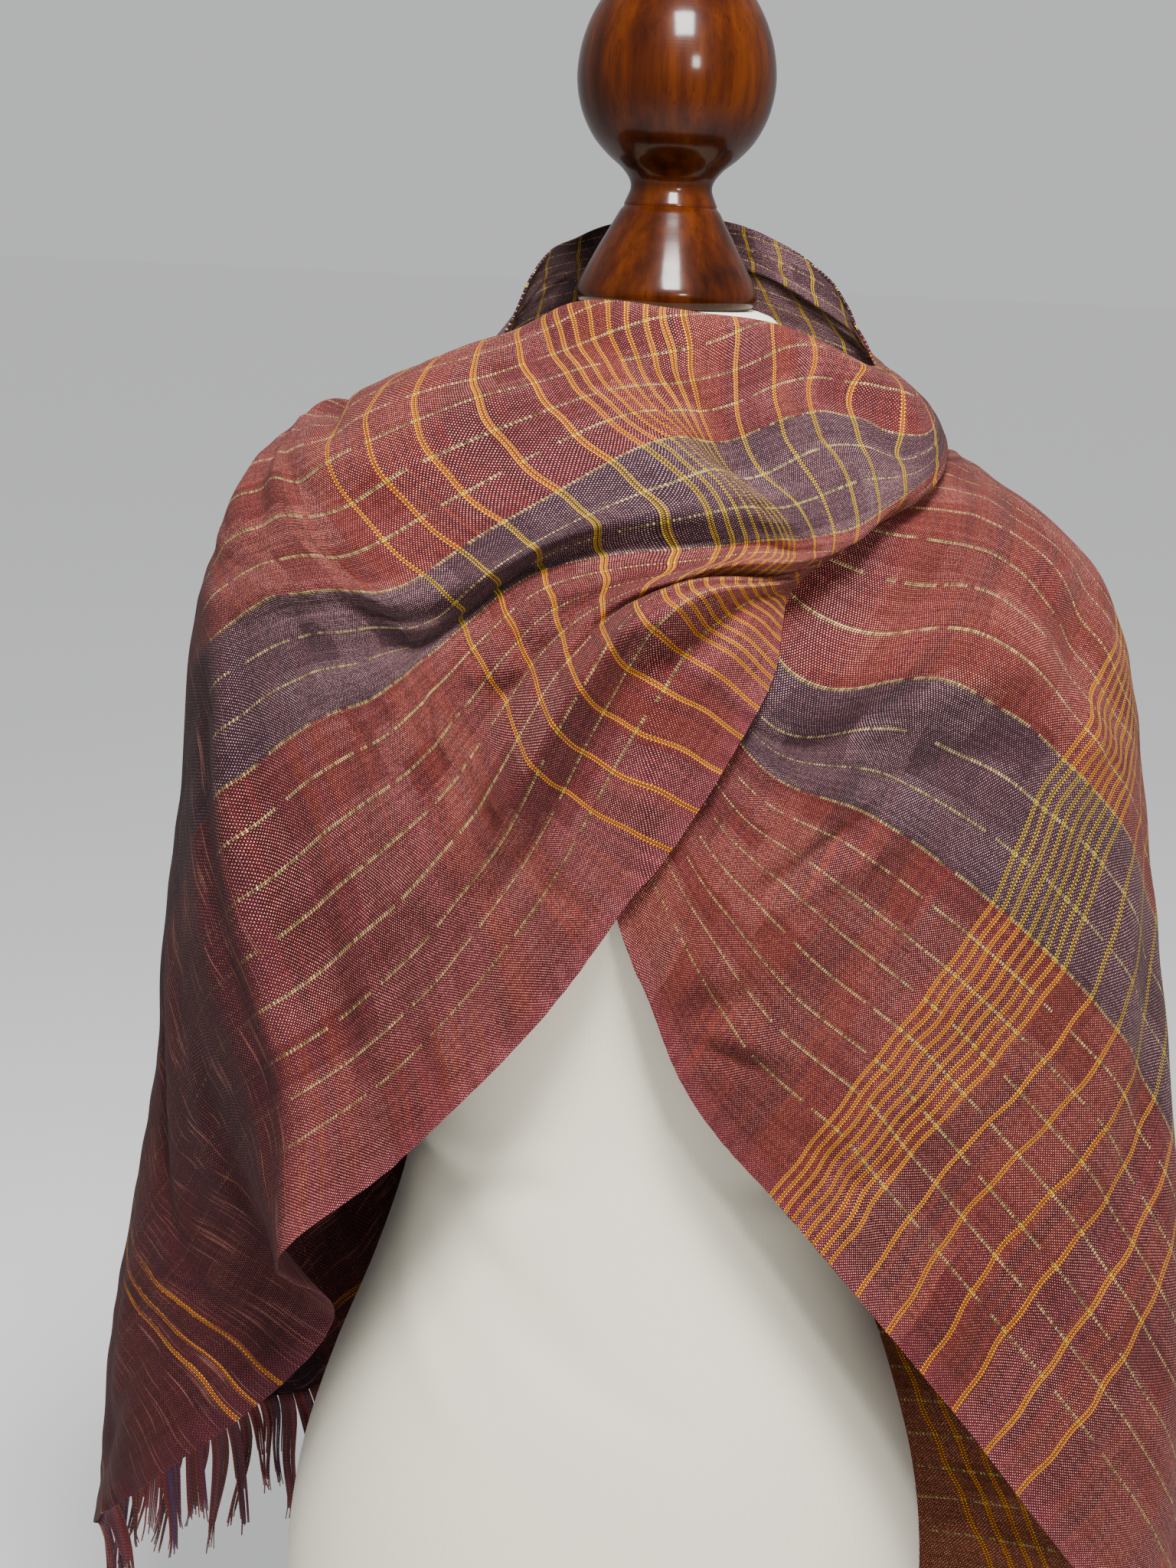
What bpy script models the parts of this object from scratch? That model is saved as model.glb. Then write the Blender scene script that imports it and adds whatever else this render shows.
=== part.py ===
"""A fringed hand-woven shawl, looped round the neck and crossed over the chest of a limbless dress form.

Metres, +Z up, front towards -Y, +X at the viewer's right. The origin is the centre of the base's underside.
"""

import math
import random

import bmesh
import bpy
import numpy as np
from mathutils import Vector

# Sizes of the stand and the turned neck finial
BASE_RADIUS = 0.180
BASE_THICK = 0.025
POLE_RADIUS = 0.017
TORSO_BOTTOM = 0.240
NECK_TOP = 1.060
GAP = 0.0003
SEAM = 0.0004

# The cloth: one woven length with a fringe at each end
CLOTH_WALL = 0.0020
FRINGE_BACKING = 0.0060
FRINGE_PITCH = 0.0110
FRINGE_LENGTH = 0.095
STRAND_THICK = 0.0019

# Widths across the cloth at which the tables below hold a column (m from the inner selvedge)
BAND_LOW = 0.22
BAND_TOP = 0.30

# Dress form, a row for each ring: height, half width, front depth, back depth
TORSO_RINGS = (
    (0.240, 0.176, 0.110, 0.120),
    (0.275, 0.184, 0.116, 0.127),
    (0.330, 0.188, 0.119, 0.131),
    (0.390, 0.181, 0.118, 0.128),
    (0.450, 0.164, 0.115, 0.115),
    (0.510, 0.142, 0.110, 0.099),
    (0.570, 0.125, 0.107, 0.087),
    (0.625, 0.119, 0.107, 0.081),
    (0.690, 0.127, 0.116, 0.084),
    (0.750, 0.138, 0.131, 0.090),
    (0.790, 0.145, 0.136, 0.093),
    (0.835, 0.152, 0.126, 0.097),
    (0.880, 0.160, 0.108, 0.100),
    (0.922, 0.170, 0.091, 0.100),
    (0.958, 0.177, 0.082, 0.096),
    (0.981, 0.168, 0.076, 0.090),
    (0.997, 0.142, 0.070, 0.083),
    (1.007, 0.108, 0.065, 0.075),
    (1.017, 0.080, 0.061, 0.068),
    (1.032, 0.067, 0.059, 0.064),
    (1.047, 0.064, 0.057, 0.061),
    (1.056, 0.059, 0.053, 0.056),
    (1.060, 0.050, 0.046, 0.048),
)

# Turned finial, a row for each ring: height over the neck, radius
FINIAL_RINGS = (
    (0.0003, 0.0430),
    (0.0012, 0.0458),
    (0.0055, 0.0485),
    (0.0110, 0.0480),
    (0.0220, 0.0425),
    (0.0340, 0.0360),
    (0.0450, 0.0298),
    (0.0560, 0.0240),
    (0.0640, 0.0218),
    (0.0715, 0.0262),
    (0.0790, 0.0350),
    (0.0880, 0.0430),
    (0.1000, 0.0492),
    (0.1130, 0.0523),
    (0.1250, 0.0525),
    (0.1390, 0.0500),
    (0.1530, 0.0445),
    (0.1660, 0.0358),
    (0.1760, 0.0245),
    (0.1815, 0.0130),
)

# The body's space that the cloth lies round, a row for each level:
# height, half width at the viewer's left, at the viewer's right, front depth, back depth
LEVELS = np.array((
    (0.200, 0.303, 0.347, 0.160, 0.165),
    (0.300, 0.303, 0.342, 0.158, 0.165),
    (0.400, 0.300, 0.334, 0.155, 0.162),
    (0.500, 0.292, 0.322, 0.150, 0.158),
    (0.600, 0.281, 0.308, 0.146, 0.152),
    (0.700, 0.268, 0.292, 0.144, 0.146),
    (0.800, 0.254, 0.277, 0.144, 0.140),
    (0.880, 0.245, 0.264, 0.136, 0.132),
    (0.930, 0.223, 0.241, 0.122, 0.124),
    (0.965, 0.196, 0.200, 0.110, 0.116),
    (0.995, 0.160, 0.152, 0.100, 0.108),
    (1.020, 0.118, 0.118, 0.092, 0.100),
    (1.050, 0.088, 0.104, 0.086, 0.092),
    (1.110, 0.074, 0.080, 0.078, 0.084),
))
ROUNDNESS = 0.88

# Sections across the cloth, from end 1 round the neck to end 2. Distance along the cloth (m), then the
# widths (m) of the near edge that shows, the roll line, the shoulder line and the far edge that shows.
SECTIONS = (
    # name              along  near  roll  shoulder  far
    ("end one",         0.00,  0.00, 0.10, 0.42,     0.66),
    ("left back",       0.13,  0.00, 0.10, 0.42,     0.66),
    ("pleat trough",    0.28,  0.00, 0.10, 0.42,     0.66),
    ("pleat ridge",     0.33,  0.00, 0.10, 0.42,     0.66),
    ("left chest",      0.42,  0.00, 0.10, 0.42,     0.66),
    ("left corner",     0.54,  0.00, 0.10, 0.42,     0.62),
    ("first stripe",    0.66,  0.00, 0.10, 0.43,     0.56),
    ("third stripe",    0.71,  0.00, 0.10, 0.43,     0.50),
    ("dense start",     0.78,  0.00, 0.10, 0.42,     0.47),
    ("dense end",       0.86,  0.02, 0.11, 0.38,     0.43),
    ("gather",          0.93,  0.14, 0.18, 0.35,     0.41),
    ("right neck",      1.00,  0.16, 0.19, 0.34,     0.44),
    ("right nape",      1.07,  0.15, 0.18, 0.36,     0.48),
    ("collar right",    1.14,  0.08, 0.14, 0.36,     0.50),
    ("collar back",     1.22,  0.02, 0.10, 0.36,     0.52),
    ("collar left",     1.30,  0.04, 0.12, 0.36,     0.50),
    ("left nape",       1.38,  0.12, 0.17, 0.36,     0.46),
    ("left neck",       1.45,  0.14, 0.18, 0.36,     0.44),
    ("under chest",     1.53,  0.08, 0.14, 0.38,     0.46),
    ("under gather",    1.61,  0.02, 0.11, 0.40,     0.52),
    ("crossing",        1.70,  0.00, 0.10, 0.42,     0.60),
    ("right chest",     1.81,  0.00, 0.10, 0.42,     0.64),
    ("right dense",     1.92,  0.00, 0.10, 0.42,     0.66),
    ("right sparse",    2.05,  0.00, 0.10, 0.42,     0.66),
    ("right side",      2.17,  0.00, 0.10, 0.42,     0.66),
    ("right back",      2.33,  0.00, 0.10, 0.42,     0.66),
    ("end two",         2.54,  0.00, 0.10, 0.42,     0.66),
)

# Turn round the body in degrees from the front, a row for each section and a column for each line of width
TURNS = np.array((
    # hem    roll    band low  band top  shoulder  far edge
    (-92.0, -110.0, -132.0, -146.0, -162.0, -172.0),
    (-58.0, -82.0, -106.0, -120.0, -142.0, -166.0),
    (-32.0, -58.0, -82.0, -98.0, -124.0, -161.0),
    (-35.4, -45.0, -73.0, -88.0, -116.0, -160.0),
    (-22.6, -29.2, -46.9, -60.0, -108.0, -157.0),
    (-8.2, -15.9, -29.6, -40.0, -92.0, -149.0),
    (1.8, -9.6, -20.7, -26.5, -80.0, -124.0),
    (5.8, -5.8, -12.4, -18.3, -66.0, -84.0),
    (10.5, 1.2, 6.8, -1.0, -32.9, -36.0),
    (13.2, 12.2, 15.0, 9.7, 10.2, 10.0),
    (20.0, 21.0, 22.9, 31.0, 38.7, 40.0),
    (34.0, 36.5, 40.0, 54.0, 82.0, 92.0),
    (84.0, 86.0, 89.0, 96.0, 110.0, 120.0),
    (122.0, 124.0, 127.0, 132.0, 141.0, 149.0),
    (163.0, 165.0, 168.0, 172.0, 177.0, 181.0),
    (206.0, 207.0, 209.0, 211.0, 213.0, 215.0),
    (248.0, 248.0, 248.0, 249.0, 250.0, 251.0),
    (290.0, 291.0, 292.0, 294.0, 296.0, 299.0),
    (332.0, 334.0, 337.0, 341.0, 346.0, 353.0),
    (349.5, 353.0, 358.5, 363.0, 373.0, 388.0),
    (358.5, 362.1, 367.7, 372.9, 404.0, 440.0),
    (364.2, 371.4, 382.5, 391.1, 425.6, 486.0),
    (373.0, 383.9, 399.8, 413.2, 436.3, 508.0),
    (388.7, 402.0, 429.8, 448.0, 472.0, 519.0),
    (408.0, 429.6, 455.0, 470.0, 491.0, 525.0),
    (438.0, 457.0, 477.0, 489.0, 503.0, 529.0),
    (503.0, 511.0, 519.0, 523.0, 528.0, 536.0),
))

# Level in the table of levels, with the same rows and columns
HEIGHTS = np.array((
    # hem  roll  band low  band top  shoulder  far edge
    (1.25, 1.45, 1.55, 1.65, 2.60, 5.80),
    (2.05, 2.72, 3.30, 3.75, 4.95, 7.45),
    (3.22, 3.90, 4.75, 5.40, 6.40, 8.50),
    (3.55, 4.42, 5.29, 5.95, 6.90, 8.90),
    (4.19, 4.99, 6.32, 7.10, 7.85, 9.30),
    (5.04, 5.75, 6.81, 7.53, 9.05, 9.65),
    (5.96, 6.40, 7.35, 7.77, 9.95, 10.30),
    (6.42, 6.92, 7.98, 8.50, 10.90, 11.20),
    (7.04, 7.74, 8.41, 9.97, 12.14, 12.10),
    (7.88, 8.00, 8.42, 10.01, 12.23, 12.15),
    (8.33, 8.42, 8.62, 10.60, 11.98, 11.95),
    (8.95, 9.06, 9.25, 9.95, 10.90, 11.50),
    (10.15, 10.25, 10.42, 10.80, 11.50, 12.10),
    (9.50, 9.90, 10.50, 11.10, 12.00, 12.70),
    (8.80, 9.50, 10.50, 11.40, 12.30, 12.95),
    (9.20, 9.80, 10.60, 11.40, 12.20, 12.75),
    (10.00, 10.30, 10.80, 11.30, 11.90, 12.35),
    (9.60, 9.90, 10.20, 10.50, 10.80, 11.10),
    (8.30, 8.70, 9.20, 9.70, 10.30, 10.90),
    (6.90, 7.30, 7.85, 8.40, 9.50, 10.40),
    (5.51, 6.01, 6.59, 7.09, 9.48, 10.00),
    (4.64, 5.30, 6.15, 7.05, 8.94, 9.70),
    (4.03, 4.76, 5.59, 6.38, 7.17, 9.25),
    (3.04, 3.80, 4.59, 5.25, 6.20, 8.50),
    (1.89, 2.47, 3.40, 4.10, 5.20, 7.70),
    (0.75, 1.55, 2.60, 3.35, 4.50, 7.00),
    (0.25, 1.15, 2.30, 3.05, 4.20, 6.50),
))

# Distance off the levels' surface in millimetres, with the same rows and columns
LIFTS = np.array((
    # hem  roll  band low  band top  shoulder  far edge
    (1.0, 1.0, 1.0, 1.0, 1.0, 2.0),
    (-8.0, -4.0, 0.0, 1.0, 1.0, 4.0),
    (-30.0, -15.0, -6.0, 0.0, 1.0, 6.0),
    (14.0, 10.0, 3.0, 1.0, 1.0, 7.0),
    (8.0, 8.0, 9.0, 10.0, 5.0, 8.0),
    (8.0, 9.0, 9.0, 14.0, 16.0, 9.0),
    (8.0, 20.0, 9.0, 17.0, 12.0, 9.0),
    (9.0, 25.0, 9.0, 18.0, 13.0, 6.0),
    (9.0, 30.0, 18.0, 14.0, 10.0, -6.0),
    (8.0, 17.0, 25.0, 14.0, 10.0, -6.0),
    (12.0, 17.0, 23.0, 13.0, 10.0, -6.0),
    (8.0, 10.0, 13.0, 14.0, 13.0, 6.0),
    (8.0, 9.0, 10.0, 12.0, 12.0, 6.0),
    (9.0, 9.0, 8.0, 10.0, 7.0, 5.0),
    (8.0, 9.0, 5.0, 9.0, 4.0, 4.0),
    (-4.0, 0.0, 1.0, 5.0, 2.0, 2.0),
    (-5.0, -3.0, -4.0, -1.0, -2.0, -2.0),
    (-6.0, -6.0, -7.0, -6.0, -7.0, -8.0),
    (-5.0, -4.0, -4.0, -4.0, -5.0, -7.0),
    (-3.0, -2.0, -2.0, -2.0, -2.0, -5.0),
    (-1.0, 0.0, 0.0, 0.0, 0.0, -1.0),
    (0.0, 0.0, 0.0, 0.0, 0.0, 0.0),
    (0.0, 0.0, 0.0, 0.0, 0.0, 0.0),
    (0.0, 0.0, 0.0, 0.0, 0.0, 0.0),
    (0.0, 0.0, 0.0, 0.0, 0.0, 0.0),
    (0.0, 0.0, 0.0, 0.0, 0.0, 0.0),
    (0.0, 0.0, 0.0, 0.0, 0.0, 0.0),
))

# The largest folds: distance along and width across at the start, middle and end, height and half width in mm
FOLDS = (
    # name              start         middle        end           height  spread
    ("pleat ridge",     (0.335, 0.00), (0.365, 0.15), (0.400, 0.29), 9.0,  17.0),
    ("pleat trough",    (0.285, 0.00), (0.310, 0.13), (0.345, 0.27), -8.0, 20.0),
    ("roll crest",      (0.830, 0.10), (0.720, 0.10), (0.500, 0.11), 11.0, 18.0),
    ("roll trough",     (0.790, 0.16), (0.680, 0.16), (0.520, 0.15), -8.0, 18.0),
    ("brow fold",       (0.900, 0.24), (0.720, 0.27), (0.430, 0.31), 7.0,  17.0),
    ("brow trough",     (0.740, 0.22), (0.640, 0.24), (0.440, 0.265), -5.0, 18.0),
    ("upper crease",    (0.950, 0.30), (0.860, 0.29), (0.760, 0.31), -5.0, 18.0),
    ("corner fold",     (0.580, 0.48), (0.540, 0.41), (0.470, 0.36), 7.0,  24.0),
    ("hem trough",      (0.760, 0.05), (0.690, 0.05), (0.600, 0.05), -4.0, 16.0),
    ("collar fold",     (1.090, 0.25), (1.220, 0.20), (1.380, 0.24), 5.0,  17.0),
    ("collar crease",   (1.090, 0.34), (1.230, 0.32), (1.380, 0.33), -5.0, 16.0),
    ("nape drape",      (1.120, 0.12), (1.210, 0.09), (1.300, 0.12), 5.0,  20.0),
    ("band ripple",     (1.660, 0.29), (1.800, 0.31), (1.950, 0.33), 9.0,  24.0),
    ("ripple trough",   (1.720, 0.34), (1.820, 0.36), (1.920, 0.37), -7.0, 22.0),
    ("pinch fold",      (1.760, 0.01), (1.790, 0.05), (1.820, 0.10), -7.0, 16.0),
    ("right ridge",     (1.980, 0.46), (2.080, 0.25), (2.200, 0.08), 7.0,  26.0),
    ("right trough",    (2.060, 0.50), (2.160, 0.30), (2.290, 0.10), -9.0, 28.0),
    ("back ridge",      (2.210, 0.56), (2.340, 0.34), (2.460, 0.08), 9.0,  30.0),
    ("left ridge",      (0.230, 0.54), (0.160, 0.32), (0.070, 0.12), 8.0,  26.0),
    ("left trough",     (0.150, 0.52), (0.090, 0.34), (0.020, 0.18), -7.0, 24.0),
)

# The cloth's stretches: name, from and to along the cloth, cells along, cells between the lines of width.
# The finer counts are multiples of the coarse ones, so that both sides of a seam share its corners.
COARSE = (4, 4, 3, 3, 4)
STRETCHES = (
    ("shawl_left_wing",   0.00, 0.28, 10, COARSE),
    ("shawl_cross_front", 0.28, 1.00, 34, (8, 8, 6, 3, 4)),
    ("shawl_collar",      1.00, 1.45, 18, COARSE),
    ("shawl_right_front", 1.45, 2.05, 24, COARSE),
    ("shawl_right_wing",  2.05, 2.54, 16, COARSE),
)

# Parts of one strand from its root: share of its length, pull towards the ground, taper
STRAND_PARTS = (
    (0.22, 0.45, 1.0),
    (0.78, 0.84, 0.6),
)

COLOURS = {
    "cloth": (0.262, 0.048, 0.042, 1.0),
    "collar": (0.102, 0.048, 0.068, 1.0),
    "fringe": (0.085, 0.014, 0.020, 1.0),
    "jersey": (0.730, 0.700, 0.610, 1.0),
    "wood": (0.105, 0.028, 0.010, 1.0),
}

ALONG = np.array([row[1] for row in SECTIONS])
WIDTHS = np.array([(row[2], row[3], BAND_LOW, BAND_TOP, row[4], row[5]) for row in SECTIONS])


def clear_scene():
    for thing in list(bpy.data.objects):
        bpy.data.objects.remove(thing, do_unlink=True)


def material(name, colour, roughness, metallic=0.0):
    mat = bpy.data.materials.new(name)
    mat.use_nodes = True
    shader = mat.node_tree.nodes["Principled BSDF"]
    shader.inputs["Base Color"].default_value = colour
    shader.inputs["Roughness"].default_value = roughness
    shader.inputs["Metallic"].default_value = metallic
    return mat


def add_object(name, bm, mat, smooth=True):
    bmesh.ops.recalc_face_normals(bm, faces=bm.faces[:])
    mesh = bpy.data.meshes.new(name)
    bm.to_mesh(mesh)
    bm.free()
    if smooth:
        mesh.shade_smooth()
        mesh.set_sharp_from_angle(angle=math.radians(50))
    thing = bpy.data.objects.new(name, mesh)
    mesh.materials.append(mat)
    bpy.context.scene.collection.objects.link(thing)
    return thing


def slopes(knots, rows):
    """Slope at each knot of a smooth curve through rows, from the chords on both sides."""
    steps = np.diff(knots)[:, None]
    chords = np.diff(rows, axis=0) / steps
    inner = (chords[:-1] * steps[1:] + chords[1:] * steps[:-1]) / (steps[1:] + steps[:-1])
    return np.vstack((chords[:1], inner, chords[-1:]))


def through(knots, rows, at):
    """Values at `at` of the smooth curve through rows, one column each."""
    rows = np.asarray(rows, float)
    lean = slopes(knots, rows)
    i = np.clip(np.searchsorted(knots, at, side="right") - 1, 0, len(knots) - 2)
    span = (knots[i + 1] - knots[i])[..., None]
    t = (at - knots[i])[..., None] / span
    held = (1 + 2 * t) * (1 - t) ** 2 * rows[i] + t * t * (3 - 2 * t) * rows[i + 1]
    return held + span * (t * (1 - t) ** 2 * lean[i] - t * t * (1 - t) * lean[i + 1])


LEVEL_KNOTS = np.arange(len(LEVELS), dtype=float)
LINE_KNOTS = np.arange(6, dtype=float)


def body(turn, level):
    """Point of the levels' surface at a turn (degrees) and a level."""
    ring = through(LEVEL_KNOTS, LEVELS, np.clip(level, 0.0, len(LEVELS) - 1.0))
    sine = np.sin(np.radians(turn))
    cosine = np.cos(np.radians(turn))
    width = np.where(sine < 0, ring[..., 1], ring[..., 2])
    depth = np.where(cosine > 0, ring[..., 3], ring[..., 4])
    x = width * np.sign(sine) * np.abs(sine) ** ROUNDNESS
    y = -depth * np.sign(cosine) * np.abs(cosine) ** ROUNDNESS
    return np.stack((x, y, ring[..., 0]), -1)


def outward(turn, level):
    """Direction that faces out of the levels' surface."""
    round_it = body(turn + 0.6, level) - body(turn - 0.6, level)
    low = np.clip(level - 0.15, 0.0, 12.7)
    up_it = body(turn, low + 0.3) - body(turn, low)
    face = np.cross(round_it, up_it)
    return face / np.linalg.norm(face, axis=-1, keepdims=True)


def fold_height(along, width):
    """Height in metres that the folds add at each place of the cloth."""
    total = np.zeros_like(along)
    for _, start, middle, end, height, spread in FOLDS:
        run = np.linspace(0.0, 1.0, 13)[:, None]
        path = (1 - run) ** 2 * np.array(start) + run ** 2 * np.array(end)
        path = path + 2 * run * (1 - run) * (2 * np.array(middle) - 0.5 * (np.array(start) + np.array(end)))
        gap = np.full(along.shape, 9.0)
        place = np.zeros(along.shape)
        for k in range(12):
            step = path[k + 1] - path[k]
            t = ((along - path[k, 0]) * step[0] + (width - path[k, 1]) * step[1]) / (step @ step)
            t = np.clip(t, 0.0, 1.0)
            off = np.hypot(along - path[k, 0] - t * step[0], width - path[k, 1] - t * step[1])
            place = np.where(off < gap, (k + t) / 12.0, place)
            gap = np.minimum(gap, off)
        fade = np.sin(np.pi * (0.08 + 0.84 * place)) ** 0.8
        total += height * 0.001 * fade * np.exp(-(gap / (spread * 0.001)) ** 2)
    return total


def lay(along, line):
    """Middle of the cloth's wall at a distance along it and a line of width (0 to 5)."""
    turn_rows = through(ALONG, TURNS, along)
    level_rows = through(ALONG, HEIGHTS, along)
    lift_rows = through(ALONG, LIFTS, along)
    width_rows = through(ALONG, WIDTHS, along)

    def across(rows):
        i = np.clip(np.floor(line).astype(int), 0, 4)
        t = line - i

        def column(k):
            return np.take_along_axis(rows, np.clip(k, 0, 5)[..., None], -1)[..., 0]

        before = np.where(i > 0, column(i - 1), 2 * column(i) - column(i + 1))
        after = np.where(i < 4, column(i + 2), 2 * column(i + 1) - column(i))
        here = column(i)
        there = column(i + 1)
        bend = there - before
        turn_in = 2 * before - 5 * here + 4 * there - after
        last = 3 * here - before - 3 * there + after
        return here + 0.5 * t * (bend + t * (turn_in + t * last))

    turn = across(turn_rows)
    level = across(level_rows)
    width = across(width_rows)
    lift = 0.001 * across(lift_rows) + fold_height(along, width)
    return body(turn, level) + outward(turn, level) * lift[..., None]


def wall_point(along, line, side):
    """Point of the wall's face: side is 1 for the outer and -1 for the inner one."""
    tiny = 0.0025
    low = np.clip(along, tiny, ALONG[-1] - tiny)
    run = lay(low + tiny, line) - lay(low - tiny, line)
    low_line = np.clip(line, 0.04, 4.96)
    rise = lay(along, low_line + 0.04) - lay(along, low_line - 0.04)
    face = np.cross(run, rise)
    face = face / np.linalg.norm(face, axis=-1, keepdims=True)
    return lay(along, line) + face * (0.5 * CLOTH_WALL * np.asarray(side))[..., None]


def sheet_mesh(columns, rows):
    """A flat grid, one unit square, with a second layer joined to it all round its rim."""
    bm = bmesh.new()
    run = bm.verts.layers.float.new("run")
    rise = bm.verts.layers.float.new("rise")
    side = bm.verts.layers.float.new("side")
    bmesh.ops.create_grid(bm, x_segments=columns, y_segments=rows, size=0.5)
    for v in bm.verts:
        v[run] = v.co.x + 0.5
        v[rise] = v.co.y + 0.5
        v[side] = 1.0
    whole = bm.faces[:] + bm.edges[:] + bm.verts[:]
    grown = bmesh.ops.extrude_face_region(bm, geom=whole, use_keep_orig=True)
    for thing in grown["geom"]:
        if isinstance(thing, bmesh.types.BMVert):
            thing[side] = -1.0
    return bm, run, rise, side


def spaced(counts):
    """Line numbers 0 to 5 with the given count of cells between neighbours."""
    parts = [np.linspace(k, k + 1, n, endpoint=False) for k, n in enumerate(counts)]
    return np.append(np.concatenate(parts), 5.0)


def chord_points(along, line, side, coarse):
    """Wall points that lie on the straight chords between the coarse lines, as at a shared seam."""
    low = np.clip(np.searchsorted(coarse, line, side="right") - 1, 0, len(coarse) - 2)
    share = ((line - coarse[low]) / (coarse[low + 1] - coarse[low]))[:, None]
    first = wall_point(along, coarse[low], side)
    second = wall_point(along, coarse[low + 1], side)
    return first * (1 - share) + second * share


def seam_ways(place, coarse):
    """Directions in the cloth, square to its edge at one place along it, that point to growing distance."""
    tiny = 0.003
    flat = np.zeros(coarse.shape)
    before = wall_point(np.full(coarse.shape, max(place - tiny, 0.0)), coarse, flat)
    after = wall_point(np.full(coarse.shape, min(place + tiny, ALONG[-1])), coarse, flat)
    rise = np.gradient(wall_point(np.full(coarse.shape, place), coarse, flat), axis=0)
    rise = rise / np.linalg.norm(rise, axis=-1, keepdims=True)
    way = after - before
    way = way - (way * rise).sum(-1, keepdims=True) * rise
    return way / np.linalg.norm(way, axis=-1, keepdims=True)


def blend(ways, line, coarse):
    """Seam directions at any line number, read between the coarse lines."""
    mixed = np.stack([np.interp(line, coarse, ways[:, k]) for k in range(3)], -1)
    return mixed / np.linalg.norm(mixed, axis=-1, keepdims=True)


def build_stretch(name, start, end, cells, counts, mat):
    lines = spaced(counts)
    coarse = spaced(COARSE)
    bm, run, rise, side = sheet_mesh(cells, len(lines) - 1)
    verts = bm.verts[:]
    runs = np.array([v[run] for v in verts])
    along = start + (end - start) * runs
    line = lines[np.array([round(v[rise] * (len(lines) - 1)) for v in verts])]
    sides = np.array([v[side] for v in verts])
    spots = wall_point(along, line, sides)
    for place, seam, way in ((start, runs < 1e-4, 0.5), (end, runs > 1 - 1e-4, -0.5)):
        along_seam = np.full(line[seam].shape, place)
        spots[seam] = chord_points(along_seam, line[seam], sides[seam], coarse)
        if 0.0 < place < ALONG[-1]:
            spots[seam] += way * SEAM * blend(seam_ways(place, coarse), line[seam], coarse)
    for v, spot in zip(verts, spots):
        v.co = spot
    return add_object(name, bm, mat)


def build_fringe(name, end, mat, seed):
    """Strands that hang from a narrow backing strip just past the cloth's end."""
    chance = random.Random(seed)
    way = -1.0 if end == 0 else 1.0
    coarse = spaced(COARSE)
    widths = np.interp(coarse, LINE_KNOTS, WIDTHS[0 if end == 0 else -1])
    strands = np.maximum(1, np.round(np.diff(widths) / FRINGE_PITCH)).astype(int)
    parts = [np.linspace(coarse[k], coarse[k + 1], 2 * n, endpoint=False) for k, n in enumerate(strands)]
    lines = np.append(np.concatenate(parts), 5.0)
    cells = len(lines) - 1
    bm, run, rise, side = sheet_mesh(cells, 1)
    verts = bm.verts[:]
    line = lines[np.array([round(v[run] * cells) for v in verts])]
    depth = np.array([v[rise] for v in verts])
    sides = np.array([v[side] for v in verts])
    edge = np.full(line.shape, float(end))
    rim = chord_points(edge, line, sides, coarse)
    out = way * blend(seam_ways(float(end), coarse), line, coarse)
    spots = rim + out * (GAP + FRINGE_BACKING * depth)[:, None]
    headings = {}
    for v, spot, ahead in zip(verts, spots, out):
        v.co = spot
        headings[round(v[run] * cells)] = Vector(ahead)
    # the far side faces of every second cell grow into strands
    roots = []
    for face in bm.faces:
        if all(v[rise] > 0.5 for v in face.verts):
            cell = min(round(v[run] * cells) for v in face.verts)
            if cell % 2 == 0:
                roots.append((cell, face))
    roots.sort(key=lambda pair: pair[0])
    down = Vector((0.0, 0.0, -1.0))
    for cell, face in roots:
        length = FRINGE_LENGTH * chance.uniform(0.82, 1.08)
        sway = Vector((chance.uniform(-1, 1), chance.uniform(-1, 1), 0.0)) * 0.0007
        spot = face.calc_center_median()
        for part, (share, pull, taper) in enumerate(STRAND_PARTS):
            aim = (headings[cell] * (1.0 - pull) + down * pull).normalized()
            spot = spot + aim * length * share + sway * part
            face = bmesh.ops.extrude_discrete_faces(bm, faces=[face])["faces"][0]
            middle = face.calc_center_median()
            corners = [v.co - middle for v in face.verts]
            side_way = (corners[1] - corners[0]).normalized()
            across_way = aim.cross(side_way).normalized()
            side_way = across_way.cross(aim).normalized()
            for v, corner in zip(face.verts, corners):
                a = 0.5 * STRAND_THICK * taper * (1.0 if corner.dot(side_way) > 0 else -1.0)
                b = 0.5 * STRAND_THICK * taper * (1.0 if corner.dot(across_way) > 0 else -1.0)
                v.co = spot + side_way * a + across_way * b
    return add_object(name, bm, mat, smooth=False)


def build_turned(name, rings, base, mat, sides=32):
    """A solid turned about the Z axis: rings of height and radius, closed with flat ends."""
    bm = bmesh.new()
    made = bmesh.ops.create_circle(bm, cap_ends=False, segments=sides, radius=rings[0][1])
    loop = list(dict.fromkeys(e for v in made["verts"] for e in v.link_edges))
    for v in made["verts"]:
        v.co.z = base + rings[0][0]
    bottom = loop
    for height, radius in rings[1:]:
        grown = bmesh.ops.extrude_edge_only(bm, edges=loop)["geom"]
        loop = [g for g in grown if isinstance(g, bmesh.types.BMEdge)]
        for v in [g for g in grown if isinstance(g, bmesh.types.BMVert)]:
            scale = radius / math.hypot(v.co.x, v.co.y)
            v.co = Vector((v.co.x * scale, v.co.y * scale, base + height))
    bmesh.ops.edgeloop_fill(bm, edges=bottom)
    bmesh.ops.edgeloop_fill(bm, edges=loop)
    return add_object(name, bm, mat)


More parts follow.
